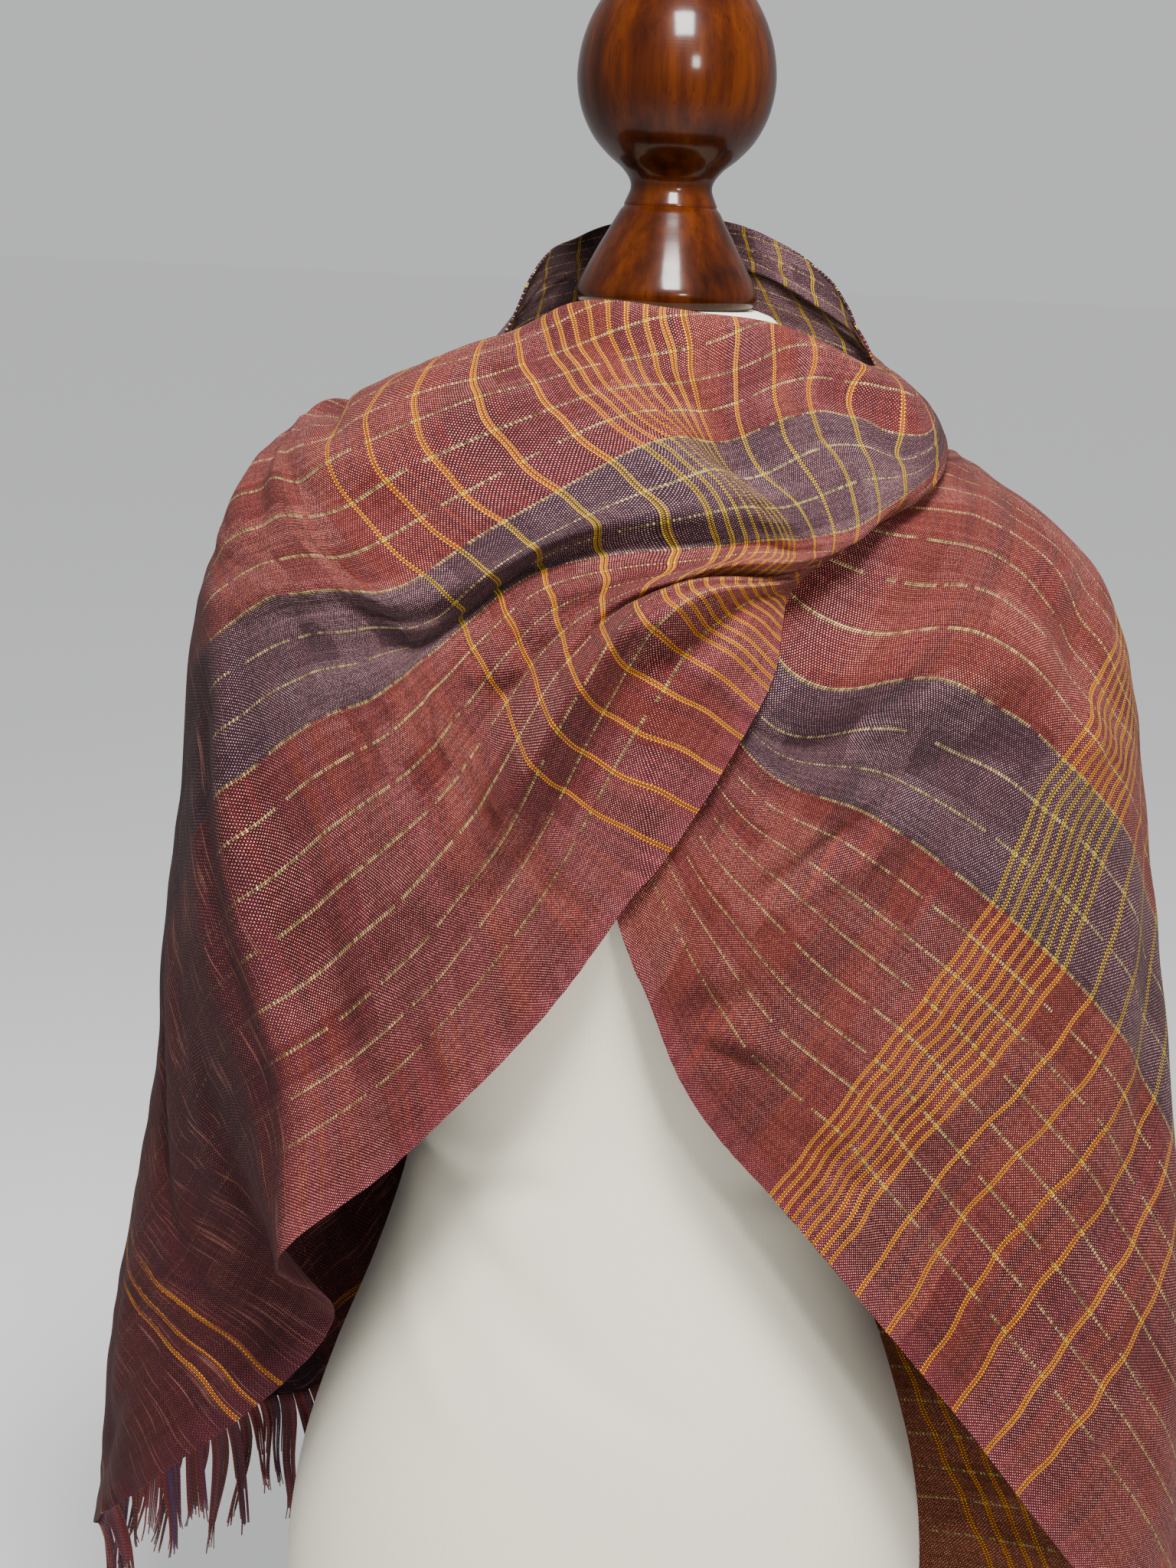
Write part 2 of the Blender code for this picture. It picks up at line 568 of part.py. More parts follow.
def build_torso(mat, sides=32):
    """The limbless form: rings of rounded sections, closed with a flat underside and neck top."""
    bm = bmesh.new()
    turn = bm.verts.layers.float.new("turn")
    made = bmesh.ops.create_circle(bm, cap_ends=False, segments=sides, radius=1.0)
    loop = list(dict.fromkeys(e for v in made["verts"] for e in v.link_edges))
    bottom = loop
    for v in made["verts"]:
        v[turn] = math.atan2(v.co.x, -v.co.y)

    def set_ring(verts, ring):
        height, half, front, back = ring
        for v in verts:
            sine = math.sin(v[turn])
            cosine = math.cos(v[turn])
            depth = front if cosine > 0 else back
            power = 0.90
            x = half * math.copysign(abs(sine) ** power, sine)
            y = -depth * math.copysign(abs(cosine) ** power, cosine)
            v.co = Vector((x, y, height))

    set_ring(made["verts"], TORSO_RINGS[0])
    for ring in TORSO_RINGS[1:]:
        grown = bmesh.ops.extrude_edge_only(bm, edges=loop)["geom"]
        loop = [g for g in grown if isinstance(g, bmesh.types.BMEdge)]
        set_ring([g for g in grown if isinstance(g, bmesh.types.BMVert)], ring)
    bmesh.ops.edgeloop_fill(bm, edges=bottom)
    bmesh.ops.edgeloop_fill(bm, edges=loop)
    return add_object("form_torso", bm, mat)


def build():
    clear_scene()
    cloth = material("woven_cloth", COLOURS["cloth"], 0.85)
    collar = material("woven_cloth_purple", COLOURS["collar"], 0.85)
    fringe = material("warp_fringe", COLOURS["fringe"], 0.85)
    jersey = material("form_jersey", COLOURS["jersey"], 0.80)
    wood = material("dark_wood", COLOURS["wood"], 0.22)

    build_torso(jersey)
    build_turned("neck_finial", FINIAL_RINGS, NECK_TOP, wood)
    pole = ((BASE_THICK + GAP, POLE_RADIUS), (TORSO_BOTTOM - GAP, POLE_RADIUS))
    build_turned("stand_pole", pole, 0.0, wood, 24)
    edge = 0.004
    plate = (
        (0.0, BASE_RADIUS - edge),
        (edge, BASE_RADIUS),
        (BASE_THICK - edge, BASE_RADIUS),
        (BASE_THICK, BASE_RADIUS - edge),
    )
    build_turned("stand_base", plate, 0.0, wood, 48)

    for name, start, end, cells, counts in STRETCHES:
        mat = collar if name == "shawl_collar" else cloth
        build_stretch(name, start, end, cells, counts, mat)
    build_fringe("fringe_left", 0, fringe, 11)
    build_fringe("fringe_right", ALONG[-1], fringe, 23)


build()
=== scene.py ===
import math
import random

import bmesh
import bpy
import numpy as np
from mathutils import Matrix, Vector


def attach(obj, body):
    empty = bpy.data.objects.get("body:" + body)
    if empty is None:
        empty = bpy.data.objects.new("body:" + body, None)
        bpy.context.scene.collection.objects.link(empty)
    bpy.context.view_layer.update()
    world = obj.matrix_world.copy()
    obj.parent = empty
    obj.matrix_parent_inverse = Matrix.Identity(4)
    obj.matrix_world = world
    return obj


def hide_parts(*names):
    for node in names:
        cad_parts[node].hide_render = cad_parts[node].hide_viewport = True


# A fringed hand-woven shawl, looped round the neck of a limbless dress form and crossed over the chest.
# Metres, +Z up, front towards -Y. Distances "along" run from one fringe to the other, "across" from the
# hem up.
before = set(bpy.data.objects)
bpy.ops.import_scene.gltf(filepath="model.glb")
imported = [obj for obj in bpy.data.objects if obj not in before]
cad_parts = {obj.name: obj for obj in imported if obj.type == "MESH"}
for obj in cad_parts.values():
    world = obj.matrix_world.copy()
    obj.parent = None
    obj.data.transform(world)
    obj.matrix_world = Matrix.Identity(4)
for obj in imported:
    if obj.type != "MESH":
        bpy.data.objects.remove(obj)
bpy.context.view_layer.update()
print("frame loaded,", len(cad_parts), "nodes")

# The space that the cloth lies round, a row for each level:
# height, half width at the viewer's left, at the viewer's right, front depth, back depth
levels = np.array((
    (0.2, 0.303, 0.347, 0.16, 0.165),
    (0.3, 0.303, 0.342, 0.158, 0.165),
    (0.4, 0.3, 0.334, 0.155, 0.162),
    (0.5, 0.292, 0.322, 0.15, 0.158),
    (0.6, 0.281, 0.308, 0.146, 0.152),
    (0.7, 0.268, 0.292, 0.144, 0.146),
    (0.8, 0.254, 0.277, 0.144, 0.14),
    (0.88, 0.245, 0.264, 0.136, 0.132),
    (0.93, 0.223, 0.241, 0.122, 0.124),
    (0.965, 0.196, 0.2, 0.11, 0.116),
    (0.995, 0.16, 0.152, 0.1, 0.108),
    (1.02, 0.118, 0.118, 0.092, 0.1),
    (1.05, 0.088, 0.104, 0.086, 0.092),
    (1.11, 0.074, 0.08, 0.078, 0.084),
))

# Sections across the cloth: distance along it, then the widths of the near edge that shows, the roll line,
# the shoulder line and the far edge that shows
sections = (
    # name, along, near, roll, shoulder, far
    ("end one", 0, 0, 0.1, 0.42, 0.66),
    ("left back", 0.13, 0, 0.1, 0.42, 0.66),
    ("pleat trough", 0.28, 0, 0.1, 0.42, 0.66),
    ("pleat ridge", 0.33, 0, 0.1, 0.42, 0.66),
    ("left chest", 0.42, 0, 0.1, 0.42, 0.66),
    ("left corner", 0.54, 0, 0.1, 0.42, 0.62),
    ("first stripe", 0.66, 0, 0.1, 0.43, 0.56),
    ("third stripe", 0.71, 0, 0.1, 0.43, 0.5),
    ("dense start", 0.78, 0, 0.1, 0.42, 0.47),
    ("dense end", 0.86, 0.02, 0.11, 0.38, 0.43),
    ("gather", 0.93, 0.14, 0.18, 0.35, 0.41),
    ("right neck", 1, 0.16, 0.19, 0.34, 0.44),
    ("right nape", 1.07, 0.15, 0.18, 0.36, 0.48),
    ("collar right", 1.14, 0.08, 0.14, 0.36, 0.5),
    ("collar back", 1.22, 0.02, 0.1, 0.36, 0.52),
    ("collar left", 1.3, 0.04, 0.12, 0.36, 0.5),
    ("left nape", 1.38, 0.12, 0.17, 0.36, 0.46),
    ("left neck", 1.45, 0.14, 0.18, 0.36, 0.44),
    ("under chest", 1.53, 0.08, 0.14, 0.38, 0.46),
    ("under gather", 1.61, 0.02, 0.11, 0.4, 0.52),
    ("crossing", 1.7, 0, 0.1, 0.42, 0.6),
    ("right chest", 1.81, 0, 0.1, 0.42, 0.64),
    ("right dense", 1.92, 0, 0.1, 0.42, 0.66),
    ("right sparse", 2.05, 0, 0.1, 0.42, 0.66),
    ("right side", 2.17, 0, 0.1, 0.42, 0.66),
    ("right back", 2.33, 0, 0.1, 0.42, 0.66),
    ("end two", 2.54, 0, 0.1, 0.42, 0.66),
)

# Turn round the body in degrees from the front, a row for each section, a column for each line across
turns = np.array((
    # hem, roll, band low, band top, shoulder, far edge
    (-92, -110, -132, -146, -162, -172),
    (-58, -82, -106, -120, -142, -166),
    (-32, -58, -82, -98, -124, -161),
    (-35.4, -45, -73, -88, -116, -160),
    (-22.6, -29.2, -46.9, -60, -108, -157),
    (-8.2, -15.9, -29.6, -40, -92, -149),
    (1.8, -9.6, -20.7, -26.5, -80, -124),
    (5.8, -5.8, -12.4, -18.3, -66, -84),
    (10.5, 1.2, 6.8, -1, -32.9, -36),
    (13.2, 12.2, 15, 9.7, 10.2, 10),
    (20, 21, 22.9, 31, 38.7, 40),
    (34, 36.5, 40, 54, 82, 92),
    (84, 86, 89, 96, 110, 120),
    (122, 124, 127, 132, 141, 149),
    (163, 165, 168, 172, 177, 181),
    (206, 207, 209, 211, 213, 215),
    (248, 248, 248, 249, 250, 251),
    (290, 291, 292, 294, 296, 299),
    (332, 334, 337, 341, 346, 353),
    (349.5, 353, 358.5, 363, 373, 388),
    (358.5, 362.1, 367.7, 372.9, 404, 440),
    (364.2, 371.4, 382.5, 391.1, 425.6, 486),
    (373, 383.9, 399.8, 413.2, 436.3, 508),
    (388.7, 402, 429.8, 448, 472, 519),
    (408, 429.6, 455, 470, 491, 525),
    (438, 457, 477, 489, 503, 529),
    (503, 511, 519, 523, 528, 536),
))

# Level in the table of levels, with the same rows and columns
heights = np.array((
    # hem, roll, band low, band top, shoulder, far edge
    (1.25, 1.45, 1.55, 1.65, 2.6, 5.8),
    (2.05, 2.72, 3.3, 3.75, 4.95, 7.45),
    (3.22, 3.9, 4.75, 5.4, 6.4, 8.5),
    (3.55, 4.42, 5.29, 5.95, 6.9, 8.9),
    (4.19, 4.99, 6.32, 7.1, 7.85, 9.3),
    (5.04, 5.75, 6.81, 7.53, 9.05, 9.65),
    (5.96, 6.4, 7.35, 7.77, 9.95, 10.3),
    (6.42, 6.92, 7.98, 8.5, 10.9, 11.2),
    (7.04, 7.74, 8.41, 9.97, 12.02, 11.96),
    (7.88, 8, 8.42, 10.01, 12.06, 11.97),
    (8.33, 8.42, 8.62, 10.6, 11.9, 11.87),
    (8.95, 9.06, 9.25, 9.95, 10.9, 11.5),
    (10.15, 10.25, 10.42, 10.8, 11.6, 12.34),
    (9.5, 9.9, 10.5, 11.1, 12.06, 12.84),
    (8.8, 9.5, 10.5, 11.4, 12.3, 12.95),
    (9.2, 9.8, 10.6, 11.4, 12.2, 12.75),
    (10, 10.3, 10.8, 11.3, 11.9, 12.35),
    (9.6, 9.9, 10.2, 10.5, 10.8, 11.1),
    (8.3, 8.7, 9.2, 9.7, 10.3, 10.9),
    (6.9, 7.3, 7.85, 8.4, 9.5, 10.4),
    (5.51, 6.01, 6.59, 7.09, 9.48, 10),
    (4.64, 5.3, 6.15, 7.05, 8.94, 9.7),
    (4.03, 4.76, 5.59, 6.38, 7.17, 9.25),
    (3.04, 3.8, 4.59, 5.25, 6.2, 8.5),
    (1.89, 2.47, 3.4, 4.1, 5.2, 7.7),
    (0.75, 1.55, 2.6, 3.35, 4.5, 7),
    (0.25, 1.15, 2.3, 3.05, 4.2, 6.5),
))

# Distance off the levels' surface in millimetres, with the same rows and columns
lifts = np.array((
    # hem, roll, band low, band top, shoulder, far edge
    (1, 1, 1, 1, 1, 2),
    (-8, -4, 0, 1, 1, 4),
    (-30, -15, -6, 0, 1, 6),
    (14, 10, 3, 1, 1, 7),
    (8, 8, 9, 10, 5, 8),
    (8, 9, 9, 14, 16, 9),
    (8, 20, 9, 17, 12, 9),
    (9, 25, 9, 18, 13, 6),
    (9, 30, 18, 14, 10, -6),
    (8, 17, 25, 14, 10, -6),
    (12, 17, 23, 13, 10, -6),
    (8, 10, 13, 14, 13, 6),
    (8, 9, 10, 12, 12, 6),
    (9, 9, 8, 10, 7, 5),
    (8, 9, 5, 9, 4, 4),
    (-4, 0, 1, 5, 2, 2),
    (-5, -3, -4, -1, -2, -2),
    (-6, -6, -7, -6, -7, -8),
    (-5, -4, -4, -4, -5, -7),
    (-3, -2, -2, -2, -2, -5),
    (-1, 0, 0, 0, 0, -1),
    *[(0,) * 6] * 6,
))

# The large folds, all in millimetres: along and across at the start, the middle and the end, then the
# height and the half width
largeFolds = (
    ("pleat ridge", 335, 0, 365, 150, 400, 290, 9, 17),
    ("pleat trough", 285, 0, 310, 130, 345, 270, -8, 20),
    ("roll crest", 830, 100, 720, 100, 500, 110, 11, 18),
    ("roll trough", 790, 160, 680, 160, 520, 150, -8, 18),
    ("brow fold", 900, 240, 720, 270, 430, 310, 7, 17),
    ("brow trough", 740, 220, 640, 240, 440, 265, -5, 18),
    ("upper crease", 950, 300, 860, 290, 760, 310, -5, 18),
    ("corner fold", 580, 480, 540, 410, 470, 360, 7, 24),
    ("hem trough", 760, 50, 690, 50, 600, 50, -4, 16),
    ("collar fold", 1090, 250, 1220, 200, 1380, 240, 5, 17),
    ("collar crease", 1090, 340, 1230, 320, 1380, 330, -5, 16),
    ("nape drape", 1120, 120, 1210, 90, 1300, 120, 5, 20),
    ("band ripple", 1660, 290, 1800, 310, 1950, 330, 9, 24),
    ("ripple trough", 1720, 340, 1820, 360, 1920, 370, -7, 22),
    ("pinch fold", 1760, 10, 1790, 50, 1820, 100, -7, 16),
    ("right ridge", 1980, 460, 2080, 250, 2200, 80, 7, 26),
    ("right trough", 2060, 500, 2160, 300, 2290, 100, -9, 28),
    ("back ridge", 2210, 560, 2340, 340, 2460, 80, 9, 30),
    ("left ridge", 230, 540, 160, 320, 70, 120, 8, 26),
    ("left trough", 150, 520, 90, 340, 20, 180, -7, 24),
)

# Finer creases, given one by one, in the same columns
creases = (
    # the brow, where the upper cloth folds over the lower
    ("brow edge", 880, 232, 770, 246, 660, 280, 5.5, 10),
    ("brow edge left", 690, 272, 600, 300, 440, 304, 5, 9),
    ("brow shadow", 880, 200, 770, 218, 660, 257, -5, 9),
    ("brow cut", 690, 250, 600, 284, 430, 290, -5, 7),
    ("band crease", 785, 290, 850, 275, 925, 262, -3.4, 9),
    ("band lip", 800, 258, 855, 250, 915, 240, 3, 9),
    ("band tuck", 885, 300, 915, 282, 950, 275, -3.6, 9),
    # the chest above it, drawn up towards the gather
    ("neck pull one", 895, 240, 850, 320, 800, 390, -2.4, 11),
    ("neck pull two", 925, 262, 915, 320, 885, 385, -3, 10),
    ("neck pull three", 955, 262, 965, 310, 950, 360, 2.8, 9),
    ("edge wrinkle", 1000, 245, 982, 285, 955, 315, -3, 8),
    ("edge lip", 992, 300, 975, 330, 940, 350, 2, 9),
    ("neckline sag", 800, 405, 740, 390, 690, 400, -3.2, 13),
    ("shoulder draw", 720, 330, 660, 345, 600, 390, -3.4, 14),
    ("shoulder lip", 700, 360, 650, 375, 610, 420, 2.6, 13),
    ("corner dent", 660, 400, 640, 440, 620, 500, -5.5, 11),
    ("chest dimple", 770, 350, 700, 330, 650, 318, -2.4, 12),
    ("shoulder puff", 640, 480, 600, 468, 580, 445, 6, 16),
    ("shoulder dip", 566, 440, 548, 400, 520, 360, -7, 20),
    # the roll and the tight folds where it meets the gather
    ("gather groove", 880, 140, 800, 122, 752, 128, -9.5, 12),
    ("groove end", 770, 122, 738, 130, 715, 120, -8.5, 8),
    ("gather ridge", 890, 185, 820, 165, 755, 160, 6.5, 14),
    ("roll top", 860, 82, 770, 78, 744, 100, 13, 10),
    ("roll line", 752, 98, 690, 106, 610, 116, 12.5, 9.5),
    ("roll tail", 640, 113, 520, 123, 400, 118, 5.5, 11),
    ("eye hollow", 800, 55, 760, 60, 738, 78, -14, 11),
    ("eye corner", 762, 104, 745, 106, 730, 114, -9, 7),
    ("hollow lip", 800, 34, 756, 36, 722, 56, 2.6, 8),
    ("below roll", 730, 74, 650, 78, 540, 86, -10, 12),
    ("above roll", 725, 142, 680, 150, 610, 150, -8, 9),
    ("roll twist", 735, 120, 690, 135, 640, 180, -4.6, 8),
    ("stripe pull", 700, 145, 680, 180, 668, 235, -2.6, 9),
    # the left panel
    ("panel crease", 560, 235, 510, 205, 440, 180, -3, 13),
    ("panel swell", 590, 190, 520, 165, 450, 140, 2.4, 14),
    ("sleeve crease", 540, 360, 480, 330, 430, 345, -3.6, 12),
    ("sleeve swell", 470, 420, 430, 380, 390, 350, 3.4, 15),
    ("pleat edge", 410, 285, 386, 180, 352, 10, 4.5, 8),
    ("pleat line", 392, 285, 370, 180, 334, 10, -6, 8),
    ("pleat neighbour", 450, 170, 432, 85, 425, 20, 2.4, 12),
    ("pleat hollow", 425, 200, 410, 110, 395, 30, -3, 11),
    ("hem ripple one", 470, 10, 455, 50, 450, 90, -2.2, 10),
    ("hem ripple two", 540, 5, 520, 40, 505, 70, 2, 11),
    ("hem ripple three", 610, 10, 600, 35, 590, 60, -1.6, 9),
    ("small dent one", 600, 200, 575, 185, 555, 160, -2.2, 7),
    ("small dent two", 640, 215, 612, 225, 590, 220, 1.8, 7),
    ("small dent three", 520, 110, 500, 85, 488, 50, -2, 8),
    ("small dent four", 480, 290, 462, 262, 452, 228, -2, 8),
    ("small dent five", 520, 430, 496, 400, 470, 388, -2.4, 9),
    ("streaky sag", 650, 40, 560, 50, 480, 40, -2.4, 10),
    ("wing crease one", 300, 230, 240, 140, 215, 30, -3.2, 10),
    ("wing crease two", 330, 180, 290, 100, 280, 10, 3, 11),
    ("wing crease three", 180, 160, 120, 100, 70, 20, -2.6, 12),
    # the right panel
    ("band crest", 1770, 262, 1812, 290, 1862, 330, 4, 11),
    ("band hollow", 1790, 232, 1835, 262, 1890, 292, -4, 11),
    ("band nick", 1735, 318, 1760, 300, 1772, 276, -3.4, 8),
    ("breast wrinkle", 1818, 240, 1790, 190, 1764, 125, -4.4, 8),
    ("wrinkle lip", 1835, 225, 1808, 178, 1782, 120, 3, 8),
    ("crossing draw", 1690, 250, 1740, 265, 1800, 262, -2.8, 10),
    ("crossing lip", 1690, 205, 1735, 222, 1780, 225, 2.4, 10),
    ("collar draw one", 1585, 400, 1660, 440, 1760, 470, 3.4, 15),
    ("collar draw two", 1570, 345, 1640, 375, 1720, 405, -4.2, 12),
    ("arm swell", 1870, 450, 1880, 390, 1890, 330, -4, 14),
    ("side swell", 1905, 370, 1925, 280, 1935, 190, 3, 14),
    ("side dent", 1860, 240, 1875, 180, 1900, 120, -3, 12),
    ("pinch shadow", 1848, 52, 1820, 40, 1785, 16, -5, 7),
    ("pinch lip", 1856, 70, 1826, 60, 1790, 40, 3.2, 8),
    ("hem turn", 1880, 30, 1930, 40, 1990, 32, -3, 9),
    ("hem dent", 1940, 10, 1950, 45, 1972, 90, -2.4, 8),
    ("long drape one", 2010, 330, 2060, 200, 2100, 80, -3.6, 16),
    ("long drape two", 2040, 380, 2110, 260, 2170, 140, 3.6, 17),
    ("under brow", 1610, 370, 1655, 335, 1700, 300, -5, 14),
    # the nape and the neck
    ("collar swell", 1050, 460, 1095, 490, 1140, 515, 9, 28),
    ("nape crease one", 1080, 420, 1180, 430, 1290, 415, -3.4, 10),
    ("nape crease two", 1110, 290, 1200, 275, 1310, 290, -2.8, 9),
    ("nape swag", 1130, 170, 1220, 140, 1320, 180, -3.4, 10),
    ("nape edge", 1160, 60, 1220, 50, 1280, 70, -2.4, 9),
    ("neck crease", 1400, 330, 1450, 300, 1520, 290, -2.6, 9),
    # the two ends behind
    ("left drape one", 260, 440, 210, 300, 150, 150, -3.4, 15),
    ("left drape two", 190, 600, 130, 460, 60, 330, 3.6, 18),
    ("left drape three", 80, 610, 50, 500, 15, 400, -3.6, 15),
    ("left end fold", 110, 330, 60, 290, 5, 260, 5, 14),
    ("left end trough", 100, 270, 60, 230, 5, 200, -5, 14),
    ("left tip roll", 170, 60, 110, 50, 40, 30, -3, 12),
    ("right drape one", 2180, 400, 2250, 250, 2330, 90, 3.6, 18),
    ("right drape two", 2280, 560, 2380, 400, 2470, 230, -4, 18),
    ("right drape three", 2400, 600, 2470, 460, 2520, 330, 3.4, 16),
    ("right tip roll", 2360, 50, 2430, 45, 2510, 60, -3.2, 13),
)

cloth = {
    "wall": 0.0012,  # thickness of the woven cloth
    "cell": 0.0032,  # length of one cell of the sheet's grid
    "across": (25, 30, 20, 30, 56),  # cells between the lines of width
    "width": 0.66,
    "bandLow": 0.22,  # the purple band's two edges
    "bandTop": 0.30,
    "roundness": 0.88,
    "crumple": 0.0007,  # height of the soft unevenness all over
    "hemWave": 0.0009,  # height of the small waves along both selvedges
    "hemReach": 0.011,
    "waveLength": 0.023,
    "waveDrift": 0.081,
}

# The stretches of the one woven length: from and to along it, the solid that each stands for, the width and
# the area of the cut that shows, without what the gathers hide, and what the stretch rests on
stretches = {
    "leftWing": (0.00, 0.28, "shawl_left_wing", 0.66, 0.175, ["paddedForm", "crossFront"]),
    "crossFront": (0.28, 1.00, "shawl_cross_front", 0.66, 0.220, ["paddedForm", "rightFront"]),
    "neckWrap": (1.00, 1.45, "shawl_collar", 0.16, 0.054, ["paddedForm", "crossFront"]),
    "rightFront": (1.45, 2.05, "shawl_right_front", 0.66, 0.190, ["paddedForm"]),
    "rightWing": (2.05, 2.54, "shawl_right_wing", 0.66, 0.245, ["paddedForm", "rightFront"]),
}

bandEdges = (cloth["bandLow"], cloth["bandTop"])
alongKnots = np.array([row[1] for row in sections])
widthRows = np.array([(*row[2:4], *bandEdges, *row[4:]) for row in sections])
levelKnots = np.arange(len(levels), dtype=float)


def smoothThrough(knots, rows, at):
    # values at "at" of the smooth curve through the rows, one column each
    rows = np.asarray(rows, float)
    steps = np.diff(knots)[:, None]
    chords = np.diff(rows, axis=0) / steps
    inner = (chords[:-1] * steps[1:] + chords[1:] * steps[:-1]) / (steps[1:] + steps[:-1])
    lean = np.vstack((chords[:1], inner, chords[-1:]))
    i = np.clip(np.searchsorted(knots, at, side="right") - 1, 0, len(knots) - 2)
    span = (knots[i + 1] - knots[i])[..., None]
    t = (at - knots[i])[..., None] / span
    held = (1 + 2 * t) * (1 - t) ** 2 * rows[i] + t * t * (3 - 2 * t) * rows[i + 1]
    return held + span * (t * (1 - t) ** 2 * lean[i] - t * t * (1 - t) * lean[i + 1])


def filledRows(rows, between):
    # a table's rows with smooth rows between them
    last = len(rows) - 1
    return smoothThrough(np.arange(last + 1.0), rows, np.linspace(0, last, last * between + 1))


def roundPower(value, power):
    return np.sign(value) * np.abs(value) ** power


def bodyPoint(turn, level):
    ring = smoothThrough(levelKnots, levels, np.clip(level, 0.0, len(levels) - 1.0))
    sine = np.sin(np.radians(turn))
    cosine = np.cos(np.radians(turn))
    width = np.where(sine < 0, ring[..., 1], ring[..., 2])
    depth = np.where(cosine > 0, ring[..., 3], ring[..., 4])
    x = width * roundPower(sine, cloth["roundness"])
    y = -depth * roundPower(cosine, cloth["roundness"])
    return np.stack((x, y, ring[..., 0]), -1)


def unit(vectors):
    return vectors / np.linalg.norm(vectors, axis=-1, keepdims=True)


def bodyOutward(turn, level, turnStep=0.6, levelStep=0.3):
    roundIt = bodyPoint(turn + turnStep, level) - bodyPoint(turn - turnStep, level)
    low = np.clip(level - levelStep / 2, 0.0, len(levels) - 1 - levelStep)
    upIt = bodyPoint(turn, low + levelStep) - bodyPoint(turn, low)
    return unit(np.cross(roundIt, upIt))


def foldHeight(along, width, folds, parts=12):
    # what the folds add at each place of the cloth, each a soft ridge or trough that fades at its ends
    total = np.zeros_like(along)
    share = np.linspace(0.0, 1.0, parts + 1)[:, None]
    for _, *places, height, spread in folds:
        first, middle, last = np.array(places).reshape(3, 2) / 1000
        pull = 2 * middle - 0.5 * (first + last)
        path = (1 - share) ** 2 * first + share ** 2 * last + 2 * share * (1 - share) * pull
        reach = 0.003 * spread
        low = path.min(0) - reach
        high = path.max(0) + reach
        near = (along > low[0]) & (along < high[0]) & (width > low[1]) & (width < high[1])
        a = along[near]
        w = width[near]
        gap = np.full(a.shape, 9.0)
        place = np.zeros(a.shape)
        for k in range(parts):
            step = path[k + 1] - path[k]
            overA = a - path[k, 0]
            overW = w - path[k, 1]
            t = np.clip((overA * step[0] + overW * step[1]) / (step @ step), 0.0, 1.0)
            off = np.hypot(overA - t * step[0], overW - t * step[1])
            place = np.where(off < gap, (k + t) / parts, place)
            gap = np.minimum(gap, off)
        fade = np.sin(np.pi * (0.08 + 0.84 * place)) ** 0.8
        total[near] += height * 0.001 * fade * np.exp(-(gap / (spread * 0.001)) ** 2)
    return total


def unevenness(along, width):
    swirl = 0.010 * np.sin(61 * width + 17 * along)
    soft = np.sin(47 * (along + swirl) + 31 * width)
    soft += 0.60 * np.sin(88 * along - 73 * (width - swirl) + 1.3)
    soft += 0.35 * np.sin(151 * (along - swirl) + 117 * width + 2.1)
    hem = np.exp(-(np.minimum(width, cloth["width"] - width) / cloth["hemReach"]) ** 2)
    drift = 2.4 * np.sin(2 * np.pi * along / cloth["waveDrift"])
    ripple = np.sin(2 * np.pi * along / cloth["waveLength"] + drift)
    return cloth["crumple"] * soft + cloth["hemWave"] * hem * ripple


def acrossLines(rows, line):
    # a smooth curve across the six columns of each row, at line numbers 0 to 5
    i = np.clip(np.floor(line).astype(int), 0, 4)
    t = line - i

    def column(k):
        return np.take_along_axis(rows, np.clip(k, 0, 5)[..., None], -1)[..., 0]

    before = np.where(i > 0, column(i - 1), 2 * column(i) - column(i + 1))
    after = np.where(i < 4, column(i + 2), 2 * column(i + 1) - column(i))
    here = column(i)
    there = column(i + 1)
    bend = 2 * before - 5 * here + 4 * there - after
    last = 3 * here - before - 3 * there + after
    return here + 0.5 * t * ((there - before) + t * (bend + t * last))


def layCloth(along, line):
    # middle of the cloth at a distance along it and a line number, and the width across there
    tables = (turns, heights, widthRows, lifts)
    turn, level, width, lift = [acrossLines(smoothThrough(alongKnots, rows, along), line) for rows in tables]
    folded = foldHeight(along, width, largeFolds + creases) + unevenness(along, width)
    lift = 0.001 * lift + folded
    return bodyPoint(turn, level) + bodyOutward(turn, level) * lift[..., None], width


def clothFacing(along, line, step=0.0015, lineStep=0.012):
    # the direction that the cloth's right side faces
    inner = np.clip(along, 0.002, alongKnots[-1] - 0.002)
    run = layCloth(inner + step, line)[0] - layCloth(inner - step, line)[0]
    innerLine = np.clip(line, lineStep, 5 - lineStep)
    rise = layCloth(along, innerLine + lineStep)[0] - layCloth(along, innerLine - lineStep)[0]
    return unit(np.cross(run, rise))


def lineNumbers(counts):
    parts = [np.linspace(k, k + 1, n, endpoint=False) for k, n in enumerate(counts)]
    return np.append(np.concatenate(parts), 5.0)


def meshFrom(bm, name):
    mesh = bpy.data.meshes.new(name)
    bm.to_mesh(mesh)
    bm.free()
    return mesh


def readAll(items, name, kind=float, size=1):
    held = np.empty(len(items) * size, kind)
    items.foreach_get(name, held)
    return held


def keepPlaces(mesh, name, places):
    held = mesh.attributes.new(name, "FLOAT_VECTOR", "POINT")
    held.data.foreach_set("vector", places.astype(np.float32).ravel())


def linkPiece(name, mesh, finish, node):
    piece = bpy.data.objects.new(name, mesh)
    mesh.materials.append(finish)
    bpy.context.scene.collection.objects.link(piece)
    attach(piece, "root")
    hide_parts(node)
    return piece


